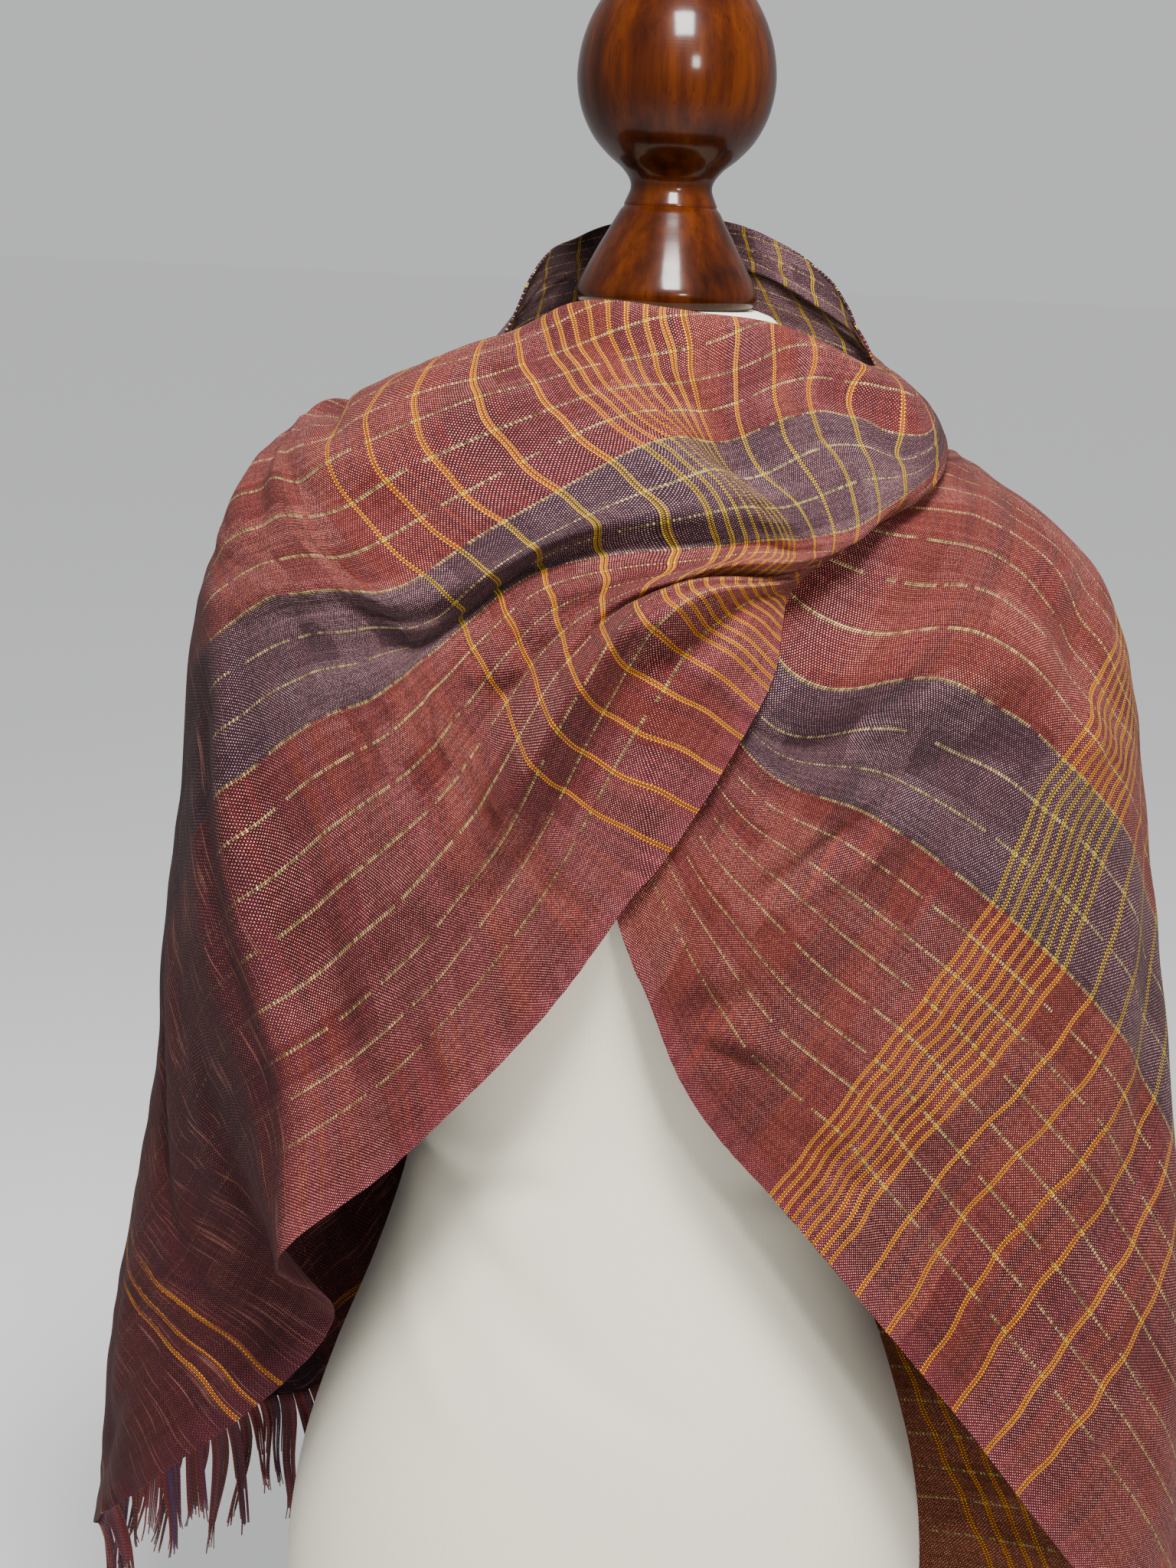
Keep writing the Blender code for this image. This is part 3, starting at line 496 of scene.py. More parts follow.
def softNoise(x, y, seed, columns=97, rows=89):
    # smooth random values from 0 to 1, with a new one at every whole number
    grid = np.random.default_rng(seed).random((columns, rows))
    i = np.floor(x).astype(int)
    j = np.floor(y).astype(int)
    s = (x - i) ** 2 * (3 - 2 * (x - i))
    t = (y - j) ** 2 * (3 - 2 * (y - j))

    def spot(a, b):
        return grid[a % columns, b % rows]

    low = spot(i, j) * (1 - s) + spot(i + 1, j) * s
    high = spot(i, j + 1) * (1 - s) + spot(i + 1, j + 1) * s
    return low * (1 - t) + high * t


def rankOf(place, marks, step):
    # whole numbers at the marks, which are in millimetres, rising within half a step of each
    marks = np.array(marks) / 1000
    nearest = np.abs(place[:, None] - marks).argmin(1)
    return nearest + np.clip((place - marks[nearest]) / step, -0.5, 0.5)


def patternPlaces(along, width):
    # where the yarns really lie, since no hand-woven yarn runs quite straight
    swing = weave["swing"] * (softNoise(width / 0.045, along / 0.15, 1) - 0.5)
    sway = weave["sway"] * (softNoise(along / 0.040, width / 0.10, 2) - 0.5)
    # the left end is pulled askew, so its stripes run in curves
    pull = np.clip((width - 0.020) / 0.125, 0.0, 1.0)
    end = np.clip((weave["askewEnd"] - along) / 0.080, 0.0, 1.0)
    askew = weave["askew"] * pull * pull * (3.0 - 2.0 * pull) * end
    u = along + swing + askew + weave["waver"] * np.sin(width / 0.0061)
    v = width + sway
    zone = softNoise(u / 0.019, v / 0.21, 3) * 0.6 + softNoise(u / 0.055, v / 0.30, 4) * 0.4
    stripe = rankOf(u, weave["stripes"], weave["stripeStep"])
    accent = rankOf(v, weave["accents"], weave["accentStep"])
    # how far each place lies within the left end, which the finish darkens with painted shade
    wingShare = np.clip((weave["wingShadeEnd"] + 0.20 * v - u) / 0.016 + 0.5, 0.0, 1.0)
    return {"clothPlace": np.stack((u, v, zone), -1), "clothLines": np.stack((stripe, accent, wingShare), -1)}


def weaveStretch(name, start, end, finish, node):
    # a flat slab of two layers, laid on the body point by point
    lines = lineNumbers(cloth["across"])
    cells = round((end - start) / cloth["cell"])
    rise = len(lines) - 1
    bm = bmesh.new()
    bmesh.ops.create_grid(bm, x_segments=cells, y_segments=rise, size=0.5)
    whole = bm.faces[:] + bm.edges[:] + bm.verts[:]
    grown = bmesh.ops.extrude_face_region(bm, geom=whole, use_keep_orig=True)["geom"]
    under = [g for g in grown if isinstance(g, bmesh.types.BMVert)]
    bmesh.ops.translate(bm, verts=under, vec=(0, 0, -1))
    bmesh.ops.recalc_face_normals(bm, faces=bm.faces[:])
    mesh = meshFrom(bm, name)
    spots = readAll(mesh.vertices, "co", size=3).reshape(-1, 3)
    along = start + (end - start) * np.round((spots[:, 0] + 0.5) * cells) / cells
    line = lines[np.round((spots[:, 1] + 0.5) * rise).astype(int)]
    side = np.where(spots[:, 2] < -0.5, -1.0, 1.0)
    middle, width = layCloth(along, line)
    facing = clothFacing(along, line)
    placed = middle + facing * (0.5 * cloth["wall"] * side)[:, None]
    mesh.vertices.foreach_set("co", placed.ravel())
    for attribute, places in patternPlaces(along, width).items():
        keepPlaces(mesh, attribute, places)
    mesh.shade_smooth()
    mesh.update()
    # both faces keep the same shading across the seams between stretches
    corner = readAll(mesh.loops, "vertex_index", int)
    sizes = readAll(mesh.polygons, "loop_total", int)
    flat = readAll(mesh.polygons, "normal", size=3).reshape(-1, 3)
    owner = np.repeat(np.arange(len(sizes)), sizes)
    rim = np.abs(np.bincount(owner, side[corner])) < sizes - 0.5
    normals = (facing * side[:, None])[corner]
    normals[rim[owner]] = flat[owner[rim[owner]]]
    mesh.normals_split_custom_set(normals.tolist())
    piece = linkPiece(name, mesh, finish, node)
    print("wove", name, len(mesh.polygons), "faces")
    return piece


def operator(operation, turned=False):
    def made(self, other=0.0):
        pair = (other, self) if turned else (self, other)
        return self.finish.maths(operation, *pair)

    return made


class Value:
    # a shader number that plain sums can be written with
    def __init__(self, finish, socket):
        self.finish = finish
        self.socket = socket

    __add__ = __radd__ = operator("ADD")
    __sub__ = operator("SUBTRACT")
    __rsub__ = operator("SUBTRACT", True)
    __mul__ = __rmul__ = operator("MULTIPLY")
    __truediv__ = operator("DIVIDE")
    __mod__ = operator("FLOORED_MODULO")
    __abs__ = operator("ABSOLUTE")


class Finish:
    # one material and the few ways that its nodes are made
    def __init__(self, name):
        self.material = bpy.data.materials.new(name)
        self.material.use_nodes = True
        self.tree = self.material.node_tree
        self.shader = self.tree.nodes["Principled BSDF"]

    def node(self, kind, settings=None, inputs=None, out=0):
        made = self.tree.nodes.new(kind)
        for key, value in (settings or {}).items():
            if key == "stops":
                ramp = made.color_ramp
                while len(ramp.elements) < len(value):
                    ramp.elements.new(0.5)
                for element, (place, colour) in zip(ramp.elements, value):
                    element.position = place
                    element.color = (*colour, 1.0)
            else:
                setattr(made, key, value)
        for key, value in (inputs or {}).items():
            if isinstance(value, Value):
                self.tree.links.new(value.socket, made.inputs[key])
            else:
                made.inputs[key].default_value = value
        return Value(self, made.outputs[out])

    def maths(self, operation, *values):
        return self.node("ShaderNodeMath", {"operation": operation}, dict(enumerate(values)))

    def mix(self, share, first, second, blend="MIX"):
        first = first if isinstance(first, Value) else (*first, 1.0)
        second = second if isinstance(second, Value) else (*second, 1.0)
        settings = {"data_type": "RGBA", "blend_type": blend}
        return self.node("ShaderNodeMix", settings, {0: share, 6: first, 7: second}, 2)

    def ease(self, value, low, high):
        settings = {"interpolation_type": "SMOOTHSTEP"}
        return self.node("ShaderNodeMapRange", settings, {0: value, 1: low, 2: high, 3: 0.0, 4: 1.0})

    def join(self, x, y, z=0.0):
        return self.node("ShaderNodeCombineXYZ", None, {0: x, 1: y, 2: z})

    def split(self, vector):
        made = self.tree.nodes.new("ShaderNodeSeparateXYZ")
        self.tree.links.new(vector.socket, made.inputs[0])
        return [Value(self, made.outputs[k]) for k in range(3)]

    def attribute(self, name):
        return self.split(self.node("ShaderNodeAttribute", {"attribute_name": name}, None, 1))

    def objectPlace(self):
        return self.split(self.node("ShaderNodeTexCoord", None, None, 3))

    def noise(self, *parts, detail=2.0, roughness=0.5, scale=1.0):
        place = self.join(*parts)
        inputs = {"Vector": place, "Scale": scale, "Detail": detail, "Roughness": roughness}
        return self.node("ShaderNodeTexNoise", None, inputs)

    def chance(self, *parts):
        settings = {"noise_dimensions": "3D"}
        return self.node("ShaderNodeTexWhiteNoise", settings, {"Vector": self.join(*parts)})

    def ramp(self, value, *stops):
        return self.node("ShaderNodeValToRGB", {"stops": stops}, {0: value})

    def bump(self, height, strength, distance):
        inputs = {"Height": height, "Strength": strength, "Distance": distance}
        return self.node("ShaderNodeBump", None, inputs)

    def surface(self, **inputs):
        names = {
            "colour": "Base Color", "roughness": "Roughness", "normal": "Normal",
            "coat": "Coat Weight", "coatRoughness": "Coat Roughness", "sheen": "Sheen Weight",
            "sheenRoughness": "Sheen Roughness", "sheenTint": "Sheen Tint", "specular": "Specular IOR Level",
        }
        for key, value in inputs.items():
            socket = self.shader.inputs[names[key]]
            if isinstance(value, Value):
                self.tree.links.new(value.socket, socket)
            else:
                socket.default_value = value
        return self.material


# The weave: colours are linear, and lengths in metres but for the two lists of places at the end
weave = {
    "thread": 0.00092,  # from one thread to the next
    "warpRed": (0.082, 0.003, 0.004),
    "warpRust": (0.1, 0.008, 0.003),
    "warpPurple": (0.011, 0.004, 0.009),
    "weftMaroon": (0.026, 0.003, 0.006),
    "weftRust": (0.115, 0.013, 0.006),
    "weftRed": (0.082, 0.004, 0.008),
    "weftMagenta": (0.078, 0.006, 0.018),
    "weftPurple": (0.018, 0.007, 0.015),
    "wingShadePlum": (0.015, 0.005, 0.009),
    # the dark purple of the left end's painted shade
    "amber": (0.18, 0.072, 0.012),
    "gap": (0.003, 0.0008, 0.0012),
    # the tints of the painted highlights on the crowns of the warp
    "highlightRed": (0.86, 0.29, 0.23),
    "highlightPurple": (0.62, 0.34, 0.34),
    "hemPink": (0.13, 0.013, 0.028),
    "streak": (0.42, 0.17, 0.12),
    "sheenTint": (0.95, 0.62, 0.58, 1.0),
    "hemWidth": 0.018,
    "gold": (0.92, 0.43, 0.01),
    "orange": (0.19, 0.016, 0.003),
    "lime": (0.64, 0.5, 0.016),
    "cream": (0.74, 0.6, 0.21),
    "olive": (0.07, 0.06, 0.014),
    "stripeHalf": 0.00132,
    "stripeCore": 0.00046,
    "stripeStep": 0.0066,
    "accentHalf": 0.0009,
    "accentStep": 0.0088,
    "swing": 0.0022,  # how far the yarns wander along and across
    "sway": 0.0024,
    "waver": 0.0006,
    "askew": 0.04,  # how far the left end is pulled, and where that stops
    "askewEnd": 0.33,
    "wingShadeEnd": 0.35,  # where the painted shade of the left end stops
    "nape": (1.01, 1.06, 1.48, 1.56),  # where the purple stretch of the collar comes and goes
    "amberEnd": (2.36, 2.46),  # where the weft turns amber towards the right end
    "bandSoft": 0.0005,
    "blockLength": 0.047,  # of the blocks that differ in painted highlights
    "dashLength": 0.0075,  # of the accent yarns' parts
    # the gold stripes' places along the cloth in millimetres
    "stripes": (
        60, 185.5, 196, 212,
        660, 685, 710, 735, 757,
        773, 781, 790, 800, 811, 821, 831, 839, 847,
        873, 902, 930, 957, 985, 1015, 1044, 1070, 1098, 1124, 1152,
        1240, 1300, 1345, 1380, 1410,
        1906, 1913, 1920, 1927, 1934, 1941, 1948, 1955.5, 1963,
        1986, 2012, 2040, 2066, 2092, 2118,
        2300, 2318, 2338, 2360, 2470, 2480, 2491, 2503,
    ),
    # the broken accent yarns' places across it, also in millimetres
    "accents": (
        55, 80, 102, 126, 150, 173, 197, 220, 247, 273, 300, 324,
        347, 371, 394, 418, 441, 465, 488, 512, 535, 559, 582, 606, 629, 650,
    ),
}


def weaveFinish(name):
    f = Finish(name)
    u, v, zone = f.attribute("clothPlace")
    stripeRank, accentRank, wing = f.attribute("clothLines")
    threadU = u / weave["thread"]
    threadV = v / weave["thread"]
    numberU = f.maths("FLOOR", threadU)
    numberV = f.maths("FLOOR", threadV)
    crownU = f.maths("COSINE", (threadU - numberU - 0.5) * math.pi)
    crownV = f.maths("COSINE", (threadV - numberV - 0.5) * math.pi)
    crown = crownU * crownV
    weftOver = (numberU + numberV) % 2.0
    stripe = f.maths("ROUND", stripeRank)
    accent = f.maths("ROUND", accentRank)
    offStripe = abs(stripeRank - stripe) * weave["stripeStep"]
    offAccent = abs(accentRank - accent) * weave["accentStep"]

    # the warp carries the bands, the weft its dyed streaks
    nape = f.ease(u, *weave["nape"][:2]) * (1 - f.ease(u, *weave["nape"][2:]))
    low, top = [f.ease(v, edge - weave["bandSoft"], edge + weave["bandSoft"]) for edge in bandEdges]
    band = f.maths("MAXIMUM", low * (1 - top), nape)
    streak = f.noise(u * 300.0, v * 9.0, detail=1.0)
    weftColour = f.ramp(
        zone * 0.60 + streak * 0.40,
        (0.30, weave["weftMaroon"]),
        (0.41, weave["weftRust"]),
        (0.50, weave["weftRed"]),
        (0.57, weave["weftMaroon"]),
        (0.66, weave["weftMagenta"]),
        (0.75, weave["weftRust"]),
    )
    yarnPick = f.chance(numberV, 3.0, 0.0)
    warp = f.mix(f.ease(yarnPick, 0.45, 0.60), weave["warpRed"], weave["warpRust"])
    warp = f.mix(band, warp, weave["warpPurple"])
    weftColour = f.mix(band * 0.80, weftColour, weave["weftPurple"])
    edge = f.maths("MINIMUM", v, cloth["width"] - v)
    hem = 1 - f.ease(edge, 0.2 * weave["hemWidth"], weave["hemWidth"])
    weftColour = f.mix(hem * 0.45, weftColour, weave["hemPink"])
    warp = f.mix(hem * 0.60, warp, weave["hemPink"])
    weftColour = f.mix(f.ease(u, *weave["amberEnd"]) * 0.8, weftColour, weave["amber"])
    # painted shade: the left end, which hangs behind, is darkened towards a dark purple in both yarns
    weftColour = f.mix(wing * 0.66, weftColour, weave["wingShadePlum"])
    warp = f.mix(wing * 0.62, warp, weave["wingShadePlum"])
    ground = f.mix(weftOver, warp, weftColour)

    # painted highlights: pale points on the crowns of the warp, fewer in some blocks of the cloth
    glint = f.chance(numberU, numberV, 1.0)
    blockNumber = f.maths("FLOOR", u / weave["blockLength"] + accent * 0.37)
    block = f.chance(blockNumber, accent, 5.0)
    # fewer painted highlights where the left end is in painted shade
    amount = (0.45 + 0.55 * f.ease(block, 0.00, 0.80)) * (1 - wing * 0.84)
    highlightTint = f.mix(band, weave["highlightRed"], weave["highlightPurple"])
    point = f.ease(crown, 0.40, 0.80) * (1 - weftOver) * (0.30 + glint * 0.70) * amount
    colour = f.mix(point * 0.95, ground, highlightTint)

    # gold stripes across, two yarns each with a darker one between
    line = 1 - f.ease(offStripe, 0.85 * weave["stripeHalf"], 1.1 * weave["stripeHalf"])
    core = 1 - f.ease(offStripe, 0.8 * weave["stripeCore"], 1.3 * weave["stripeCore"])
    gold = f.mix(band * 0.75, weave["gold"], weave["lime"])
    gold = f.mix(core * 0.75, gold, weave["orange"])
    below = f.mix(band, weave["orange"], weave["weftPurple"])
    soft = f.noise(u * 700.0, v * 22.0, 4.0)
    faint = 1 - wing * (0.28 + 0.75 * f.ease(soft, 0.42, 0.64))
    colour = f.mix(line * faint, colour, f.mix(weftOver * 0.90 + 0.08, below, gold))
    # fine pale streaks of the weft on the left end
    colour = f.mix(wing * f.ease(soft, 0.56, 0.70) * 0.30, colour, weave["streak"])

    # broken accent yarns along, one at each edge of the purple band
    every = numberU % 2.0
    part = f.chance(f.maths("FLOOR", u / weave["dashLength"]), accent, 9.0)
    bead = f.chance(numberU, accent, 4.0)
    shown = f.ease(part, 0.07, 0.10) * (0.12 + 0.88 * every) * (1 - wing * 0.93)
    dash = (1 - f.ease(offAccent, 0.7 * weave["accentHalf"], 1.2 * weave["accentHalf"])) * shown
    accentYarn = f.mix(bead, weave["olive"], weave["cream"])
    accentYarn = f.mix(line, accentYarn, weave["lime"])
    colour = f.mix(dash * 0.9, colour, accentYarn)

    # shade between the threads and from yarn to yarn
    tint = 0.72 + 0.50 * f.chance(numberU * weftOver, numberV * (1 - weftOver), 2.0)
    shade = f.node("ShaderNodeCombineColor", None, {0: tint, 1: tint, 2: tint})
    colour = f.mix(1.0, colour, shade, "MULTIPLY")
    colour = f.mix((1 - f.ease(crown, 0.07, 0.64)) * 0.96, colour, weave["gap"])
    normal = f.bump(crown, 0.75, 0.00022)
    return f.surface(
        colour=colour, roughness=0.80, normal=normal,
        sheen=0.03, sheenRoughness=0.5, sheenTint=weave["sheenTint"], specular=0.10,
    )


yarn = {
    "lockWidths": (0.006, 0.016),  # narrowest and widest lock of the fringe
    "pitch": 0.00115,  # from one thread to the next at the cloth
    "radius": 0.00088,
    "length": 0.088,
    "rings": 12,
    "sides": 5,
    "roots": (0.0008, 0.6592),  # width where the first lock starts and the last one ends
    "lastStart": 0.652,
    "lengths": (0.72, 1.10),  # shares of the length
    "lean": 0.10,
    "curl": 0.0035,
    "curly": 0.12,  # share of the locks that curl three times as far
    "narrowing": (0.55, 0.95),
    "splitAt": (0.72, 0.92),
    "gaps": (1.02, 1.35),
    "red": (0.135, 0.006, 0.006),
    "maroon": (0.040, 0.005, 0.006),
    "purple": (0.050, 0.016, 0.075),
    "amber": (0.130, 0.060, 0.012),
    "lit": (0.13, 0.03, 0.026),
}


def yarnFinish():
    f = Finish("looseYarn")
    strand, down, width = f.attribute("yarnPlace")
    pick = f.chance(f.maths("FLOOR", strand), 1.0, 0.0)
    group = f.noise(width * 38.0, 0.0, detail=1.0)
    colour = f.ramp(
        pick * 0.5 + group * 0.5,
        (0.20, yarn["purple"]),
        (0.38, yarn["maroon"]),
        (0.58, yarn["red"]),
        (0.74, yarn["maroon"]),
        (0.90, yarn["amber"]),
    )
    twist = f.maths("SINE", down * 2600.0 + strand * 5.0)
    colour = f.mix(f.ease(twist, -0.2, 0.9) * 0.22, colour, yarn["lit"])
    normal = f.bump(twist, 0.5, 0.0002)
    return f.surface(colour=colour, roughness=0.72, normal=normal, sheen=0.2, specular=0.3)


def growTubes(name, points):
    # closed tubes, from an array of tube, ring, corner and x, y, z
    tubes, rings, sides = points.shape[:3]
    bm = bmesh.new()
    slot = bm.verts.layers.int.new("slot")
    ring = bm.verts.layers.int.new("ring")
    for _ in range(tubes):
        bmesh.ops.create_circle(bm, cap_ends=True, segments=sides, radius=1.0)
    for n, v in enumerate(bm.verts):
        v[slot] = n
    loop = bm.edges[:]
    for k in range(1, rings):
        grown = bmesh.ops.extrude_edge_only(bm, edges=loop)["geom"]
        loop = [g for g in grown if isinstance(g, bmesh.types.BMEdge)]
        for v in grown:
            if isinstance(v, bmesh.types.BMVert):
                v[ring] = k
    bmesh.ops.edgeloop_fill(bm, edges=loop)
    spots = points.transpose(0, 2, 1, 3).reshape(-1, rings, 3)
    for v in bm.verts:
        v.co = spots[v[slot], v[ring]]
    bmesh.ops.recalc_face_normals(bm, faces=bm.faces[:])
    mesh = meshFrom(bm, name)
    mesh.shade_smooth()
    return mesh


def lockPaths(end, seed):
    # the centre line of every thread, lock by lock, with its width across the cloth and its radius
    chance = random.Random(seed)
    lines = np.linspace(0.0, 5.0, 500)
    edge = np.full(lines.shape, float(end))
    rim, widths = layCloth(edge, lines)
    out = unit(rim - layCloth(np.abs(edge - 0.004), lines)[0])
    rise = unit(np.gradient(rim, axis=0))
    s = np.linspace(0.0, 1.0, yarn["rings"])

    def atWidth(rows, width):
        return np.array([np.interp(width, widths, rows[:, c]) for c in range(3)])

    paths = []
    start, last = yarn["roots"]
    while start < yarn["lastStart"]:
        wide = min(chance.uniform(*yarn["lockWidths"]), last - start)
        centre = start + 0.5 * wide
        ahead = unit(atWidth(out, centre))
        across = unit(atWidth(rise, centre))
        length = yarn["length"] * chance.uniform(*yarn["lengths"])
        lean = np.array((chance.gauss(0, yarn["lean"]), chance.gauss(0, yarn["lean"]), 0.0))
        curl = chance.gauss(0, yarn["curl"]) * (3.0 if chance.random() < yarn["curly"] else 1.0)
        phase = chance.uniform(0, 6.28)
        narrow = chance.uniform(*yarn["narrowing"])
        split = chance.uniform(*yarn["splitAt"])
        twist = chance.gauss(0, 0.7)
        pull = np.clip(0.22 + 2.3 * s, 0.0, 1.0)[:, None]
        heading = unit(ahead * (1 - pull) + (np.array((0, 0, -1.0)) + lean) * pull)
        run = np.vstack((np.zeros(3), np.cumsum(0.5 * (heading[1:] + heading[:-1]), axis=0)))
        spine = atWidth(rim, centre) + run * length / (yarn["rings"] - 1)
        flatWay = unit(across - (heading * across).sum(-1)[:, None] * heading)
        thickWay = np.cross(heading, flatWay)
        turned = (twist * s)[:, None]
        sideWay = flatWay * np.cos(turned) + thickWay * np.sin(turned)
        liftWay = np.cross(heading, sideWay)
        wave = (curl * np.sin(4.2 * s + phase) * s)[:, None]
        count = max(4, round(wide / yarn["pitch"]))
        for k in range(count):
            share = (k + 0.5) / count - 0.5
            lump = 1.0 if share > chance.uniform(-0.2, 0.2) else -1.0
            close = 1 - (1 - narrow) * np.clip(s / split, 0, 1) ** 1.2
            fray = np.clip((s - split) / (1 - split), 0, 1) ** 1.6
            flat = share * wide * close + lump * 0.0022 * fray * chance.uniform(0.2, 1.3)
            deep = 0.0011 * math.sin(9.0 * share + phase) * np.sin(np.pi * np.clip(s * 1.3, 0, 1))
            deep = deep + chance.gauss(0, 0.0015) * fray
            root = atWidth(rim, centre + share * wide) - spine[0] - share * wide * sideWay[0]
            path = spine + sideWay * (flat[:, None] + wave) + liftWay * (deep[:, None] + 0.6 * wave)
            path = path + root * (1 - s)[:, None] ** 2
            reach = chance.uniform(0.80, 1.0) if chance.random() < 0.8 else chance.uniform(0.45, 0.8)
            fine = np.stack([np.interp(s * reach, s, path[:, c]) for c in range(3)], -1)
            thick = yarn["radius"] * chance.uniform(0.8, 1.2)
            paths.append((fine, centre + share * wide, thick, length * reach))
        start += wide * chance.uniform(*yarn["gaps"])
    return paths


def hangFringe(name, end, node, finish, seed):
    paths = lockPaths(end, seed)
    sides = yarn["sides"]
    angles = np.linspace(0, 2 * np.pi, sides, endpoint=False)
    points = np.empty((len(paths), yarn["rings"], sides, 3))
    for n, (path, _, thick, _) in enumerate(paths):
        heading = unit(np.gradient(path, axis=0))
        first = unit(np.cross(heading, np.array((0.31, 0.95, 0.05))))
        second = np.cross(heading, first)
        size = thick * np.linspace(1.0, 0.50, yarn["rings"])
        rounds = np.cos(angles)[None, :, None] * first[:, None]
        rounds = rounds + np.sin(angles)[None, :, None] * second[:, None]
        points[n] = path[:, None] + rounds * size[:, None, None]
    mesh = growTubes(name, points)
    strand = readAll(mesh.attributes["slot"].data, "value", int) // sides
    down = readAll(mesh.attributes["ring"].data, "value", int) / (yarn["rings"] - 1)
    widths = np.array([p[1] for p in paths])
    lengths = np.array([p[3] for p in paths])
    keepPlaces(mesh, "yarnPlace", np.stack((strand + 0.5, down * lengths[strand], widths[strand]), -1))
    piece = linkPiece(name, mesh, finish, node)
    print("hung", name, len(paths), "threads,", len(mesh.polygons), "faces")
    return piece


# The form under the cloth, a row for each ring: height, half width, front depth, back depth
formRings = np.array((
    (0.24, 0.176, 0.11, 0.12),
    (0.275, 0.184, 0.116, 0.127),
    (0.33, 0.188, 0.119, 0.131),
    (0.39, 0.181, 0.118, 0.128),
    (0.45, 0.164, 0.115, 0.115),
    (0.51, 0.142, 0.11, 0.099),
    (0.57, 0.125, 0.107, 0.087),
    (0.625, 0.119, 0.107, 0.081),
    (0.69, 0.127, 0.116, 0.084),
    (0.75, 0.138, 0.131, 0.09),
    (0.79, 0.145, 0.136, 0.093),
    (0.835, 0.152, 0.126, 0.097),
    (0.88, 0.16, 0.108, 0.1),
    (0.922, 0.17, 0.091, 0.1),
    (0.958, 0.177, 0.082, 0.096),
    (0.981, 0.168, 0.076, 0.09),
    (0.997, 0.142, 0.07, 0.083),
    (1.007, 0.108, 0.065, 0.075),
    (1.017, 0.08, 0.061, 0.068),
    (1.032, 0.067, 0.059, 0.064),
    (1.047, 0.064, 0.057, 0.061),
    (1.056, 0.059, 0.053, 0.056),
    (1.06, 0.05, 0.046, 0.048),
))

# Creases of the jersey, in the same columns: millimetres round the form from its front, and up
jerseyCreases = (
    ("waist groove", -190, 600, -120, 588, -40, 592, -3.7, 9),
    ("waist lip", -180, 618, -120, 607, -50, 610, 2, 9),
    ("slant one", -120, 575, -60, 540, -10, 500, -1.7, 9),
    ("slant two", -100, 550, -30, 500, 30, 450, -2, 11),
    ("slant three", -150, 545, -100, 490, -50, 440, 1.7, 12),
    ("right waist", 60, 600, 120, 592, 190, 602, -3.1, 10),
    ("back waist", 280, 592, 400, 585, 520, 590, -2.7, 11),
    ("left back waist", -520, 590, -400, 583, -280, 592, -2.7, 11),
)

form = {
    "sides": 112,
    "power": 0.90,
    "between": 8,  # rings between two rows of the table
    "girth": 0.130,  # radius that turns an angle into metres round the form
    "jersey": (0.660, 0.610, 0.490),
    "jerseyShade": (0.450, 0.400, 0.300),
    "rib": 0.00125,
    "row": 0.00105,
}


def padForm(finish):
    rows = filledRows(formRings, form["between"])
    angle = np.linspace(0, 2 * np.pi, form["sides"], endpoint=False) - np.pi
    height = np.repeat(rows[:, :1], len(angle), axis=1)
    turn = np.repeat(angle[None], len(rows), axis=0)
    extra = foldHeight(turn * form["girth"], height, jerseyCreases)
    depth = np.where(np.cos(turn) > 0, rows[:, 2:3], rows[:, 3:4])
    x = (rows[:, 1:2] + extra) * roundPower(np.sin(turn), form["power"])
    y = -(depth + extra) * roundPower(np.cos(turn), form["power"])
    mesh = growTubes("paddedForm", np.stack((x, y, height), -1)[None])
    mesh.set_sharp_from_angle(angle=math.radians(50))
    linkPiece("paddedForm", mesh, finish, "form_torso")
    print("form", len(mesh.polygons), "faces")


def jerseyFinish():
    f = Finish("knitJersey")
    x, y, z = f.objectPlace()
    roundIt = f.maths("ARCTAN2", x, 0 - y) * form["girth"]
    rib = f.maths("COSINE", roundIt * (2 * math.pi / form["rib"]))
    lean = abs(f.maths("FRACT", roundIt / form["rib"]) - 0.5)
    row = f.maths("COSINE", (z + lean * 0.0006) * (2 * math.pi / form["row"]))
    knit = rib * 0.6 + row * 0.4
    fuzz = f.noise(x, y, z, detail=1.0, scale=900.0)
    shade = (1 - f.ease(knit, -0.9, 0.9)) * 0.22 + fuzz * 0.08
    colour = f.mix(shade, form["jersey"], form["jerseyShade"])
    normal = f.bump(knit, 0.30, 0.00020)
    return f.surface(colour=colour, roughness=0.82, normal=normal, sheen=0.15, specular=0.25)


# The turned finial, a row for each ring: height over the neck, radius
finialRings = np.array((
    (0.0003, 0.043),
    (0.0012, 0.0458),
    (0.0055, 0.0485),
    (0.011, 0.048),
    (0.022, 0.0425),
    (0.034, 0.036),
    (0.045, 0.0298),
    (0.056, 0.024),
    (0.064, 0.0218),
    (0.0715, 0.0262),
    (0.079, 0.035),
    (0.088, 0.043),
    (0.1, 0.0492),
    (0.113, 0.0523),
    (0.125, 0.0525),
    (0.139, 0.05),
    (0.153, 0.0445),
    (0.166, 0.0358),
    (0.176, 0.0245),
    (0.1815, 0.013),
    (0.1832, 0.004),
))

wood = {
    "sides": 112,
    "between": 10,
    "neckTop": 1.060,
    "grooveHeight": 0.0525,  # the cut line round the top of the cone
    "grooveDepth": 0.0010,
    "grooveHalf": 0.0008,
    "dark": (0.009, 0.0013, 0.0001),
    "brown": (0.028, 0.0048, 0.0003),
    "lit": (0.062, 0.0130, 0.0006),
    "poleRadius": 0.017,
    "poleLow": 0.0260,
    "poleHigh": 0.2390,
    "baseRadius": 0.180,
    "baseThick": 0.025,
    # the base's edge from below: height, and distance in from the rim
    "baseEdge": ((0, 0.004), (0.0012, 0.0014), (0.004, 0), (0.013, 0), (0.0145, 0.0015), (0.016, 0.002)),
    # the rounding above it: its height, how far in its centre lies, and its reach
    "baseRound": (0.007, 0.0095, 0.0075),
}


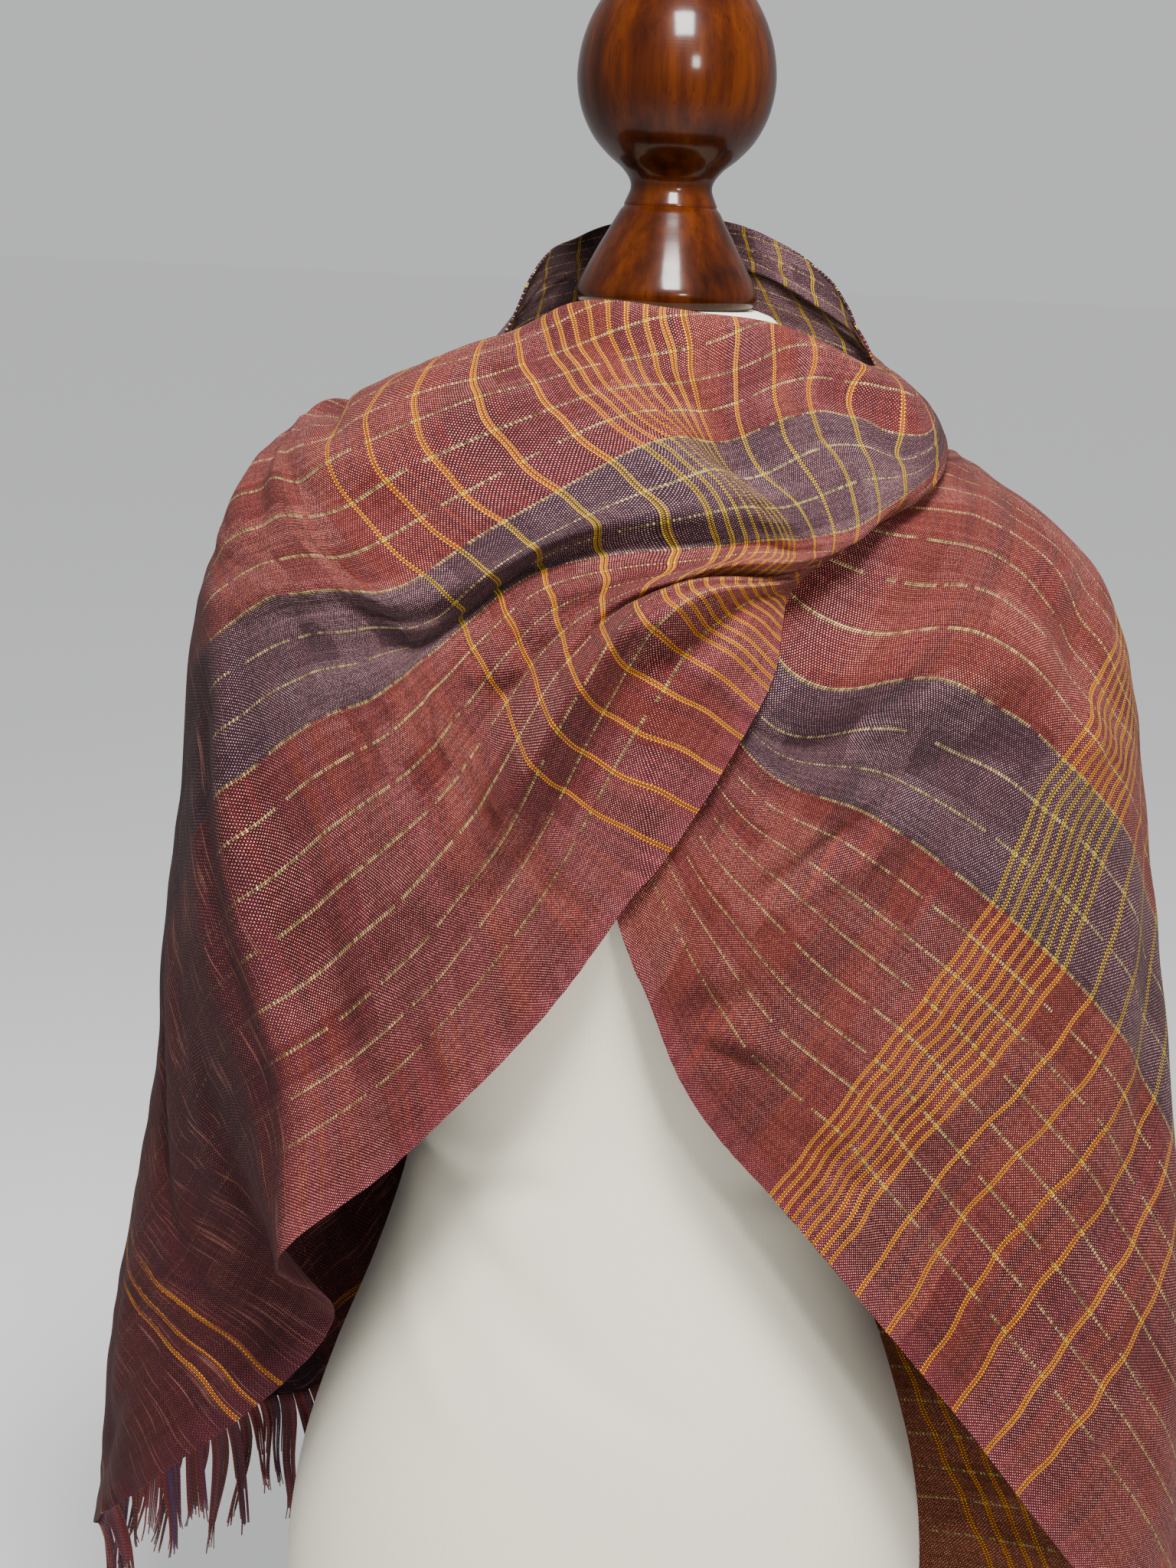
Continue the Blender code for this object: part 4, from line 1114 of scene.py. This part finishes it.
def turnWood(name, profile, node, finish):
    angle = np.linspace(0, 2 * np.pi, wood["sides"], endpoint=False)
    profile = np.array(profile)
    x = profile[:, 1:] * np.sin(angle)
    y = -profile[:, 1:] * np.cos(angle)
    z = np.repeat(profile[:, :1], len(angle), axis=1)
    mesh = growTubes(name, np.stack((x, y, z), -1)[None])
    mesh.set_sharp_from_angle(angle=math.radians(40))
    linkPiece(name, mesh, finish, node)
    print("turned", name, len(mesh.polygons), "faces")


def turnFinial(finish):
    profile = filledRows(finialRings, wood["between"])
    cut = np.exp(-(((profile[:, 0] - wood["grooveHeight"]) / wood["grooveHalf"]) ** 2))
    profile[:, 1] -= wood["grooveDepth"] * cut
    profile[:, 0] += wood["neckTop"]
    turnWood("neckKnob", profile, "neck_finial", finish)


def turnStand(finish):
    pole = [(wood[end], wood["poleRadius"]) for end in ("poleLow", "poleHigh")]
    turnWood("standPole", pole, "stand_pole", finish)
    rim = wood["baseRadius"]
    high, centre, reach = wood["baseRound"]
    plate = [(height, rim - inset) for height, inset in wood["baseEdge"]]
    for a in np.linspace(0, 1.5708, 9):
        height = wood["baseThick"] - high + high * math.sin(a)
        plate.append((height, rim - centre + reach * math.cos(a)))
    turnWood("standBase", plate, "stand_base", finish)


def woodFinish():
    f = Finish("varnishedWood")
    x, y, z = f.objectPlace()
    grain = f.noise(x * 60.0, y * 60.0, z * 7.0, detail=4.0, roughness=0.6)
    pores = f.noise(x * 900.0, y * 900.0, z * 40.0)
    colour = f.ramp(grain, (0.30, wood["dark"]), (0.50, wood["brown"]), (0.72, wood["lit"]))
    colour = f.mix(f.ease(pores, 0.60, 0.72) * 0.5, colour, wood["dark"])
    lathe = f.noise(0.0, 0.0, z * 1100.0)
    normal = f.bump(lathe, 0.22, 0.00025)
    return f.surface(
        colour=colour, roughness=0.34, normal=normal, coat=0.24, coatRoughness=0.13, specular=0.04,
    )


room = {
    "pale": (0.96, 0.96, 0.955),
    "floorHalf": 40.0,
    "sky": 0.62,
    "skyColour": (0.97, 0.98, 1.0, 1.0),
    # each softbox: its place, what it is aimed at, its side and its power
    "keyLight": ((0.10, -0.92, 2.05), (0.0, -0.10, 0.95), 0.42, 80.0),
    "frontLight": ((0.62, -1.70, 1.60), (0.0, 0.0, 0.90), 0.24, 20.0),
}


def paleRoom():
    bm = bmesh.new()
    bmesh.ops.create_grid(bm, x_segments=2, y_segments=2, size=room["floorHalf"])
    mesh = meshFrom(bm, "paleFloor")
    floor = bpy.data.objects.new("paleFloor", mesh)
    f = Finish("palePaper")
    mesh.materials.append(f.surface(colour=(*room["pale"], 1.0), roughness=0.9, specular=0.1))
    bpy.context.scene.collection.objects.link(floor)


def softbox(name):
    spot, aim, side, power = room[name]
    light = bpy.data.lights.new(name, "AREA")
    light.size = side
    light.energy = power
    lamp = bpy.data.objects.new(name, light)
    lamp.location = spot
    lamp.rotation_euler = (Vector(aim) - Vector(spot)).to_track_quat("-Z", "Y").to_euler()
    bpy.context.scene.collection.objects.link(lamp)


def lightRoom():
    for name in ("keyLight", "frontLight"):
        softbox(name)
    world = bpy.data.worlds.new("paleSky")
    world.use_nodes = True
    sky = world.node_tree.nodes["Background"]
    sky.inputs["Color"].default_value = room["skyColour"]
    sky.inputs["Strength"].default_value = room["sky"]
    bpy.context.scene.world = world


camera = {
    "lens": 60.0,
    "spot": (-0.030, -1.430, 1.110),
    "down": 12.4,  # degrees
    "roll": 2.6,
}


def placeCamera():
    down = math.radians(camera["down"])
    roll = math.radians(camera["roll"])
    ahead = Vector((0.0, math.cos(down), -math.sin(down)))
    flat = Vector((1.0, 0.0, 0.0))
    rise = Vector((0.0, math.sin(down), math.cos(down)))
    right = flat * math.cos(roll) + rise * math.sin(roll)
    up = rise * math.cos(roll) - flat * math.sin(roll)
    lens = bpy.data.cameras.new("frontCamera")
    lens.sensor_fit = "VERTICAL"
    lens.sensor_height = 36.0
    lens.lens = camera["lens"]
    seen = bpy.data.objects.new("frontCamera", lens)
    turn = Matrix((right, up, -ahead)).transposed().to_4x4()
    seen.matrix_world = Matrix.Translation(camera["spot"]) @ turn
    bpy.context.scene.collection.objects.link(seen)
    bpy.context.scene.camera = seen


weaving = weaveFinish("handWeave")
looseYarn = yarnFinish()
jersey = jerseyFinish()
varnish = woodFinish()
print("finishes made")

padForm(jersey)
turnFinial(varnish)
turnStand(varnish)

fringes = {
    "leftWing": hangFringe("leftFringe", 0, "fringe_left", looseYarn, 11),
    "rightWing": hangFringe("rightFringe", alongKnots[-1], "fringe_right", looseYarn, 23),
}
for name, (start, end, node, *_) in stretches.items():
    weaveStretch(name, start, end, weaving, node)

paleRoom()
lightRoom()
placeCamera()
print("room, lights and camera set")
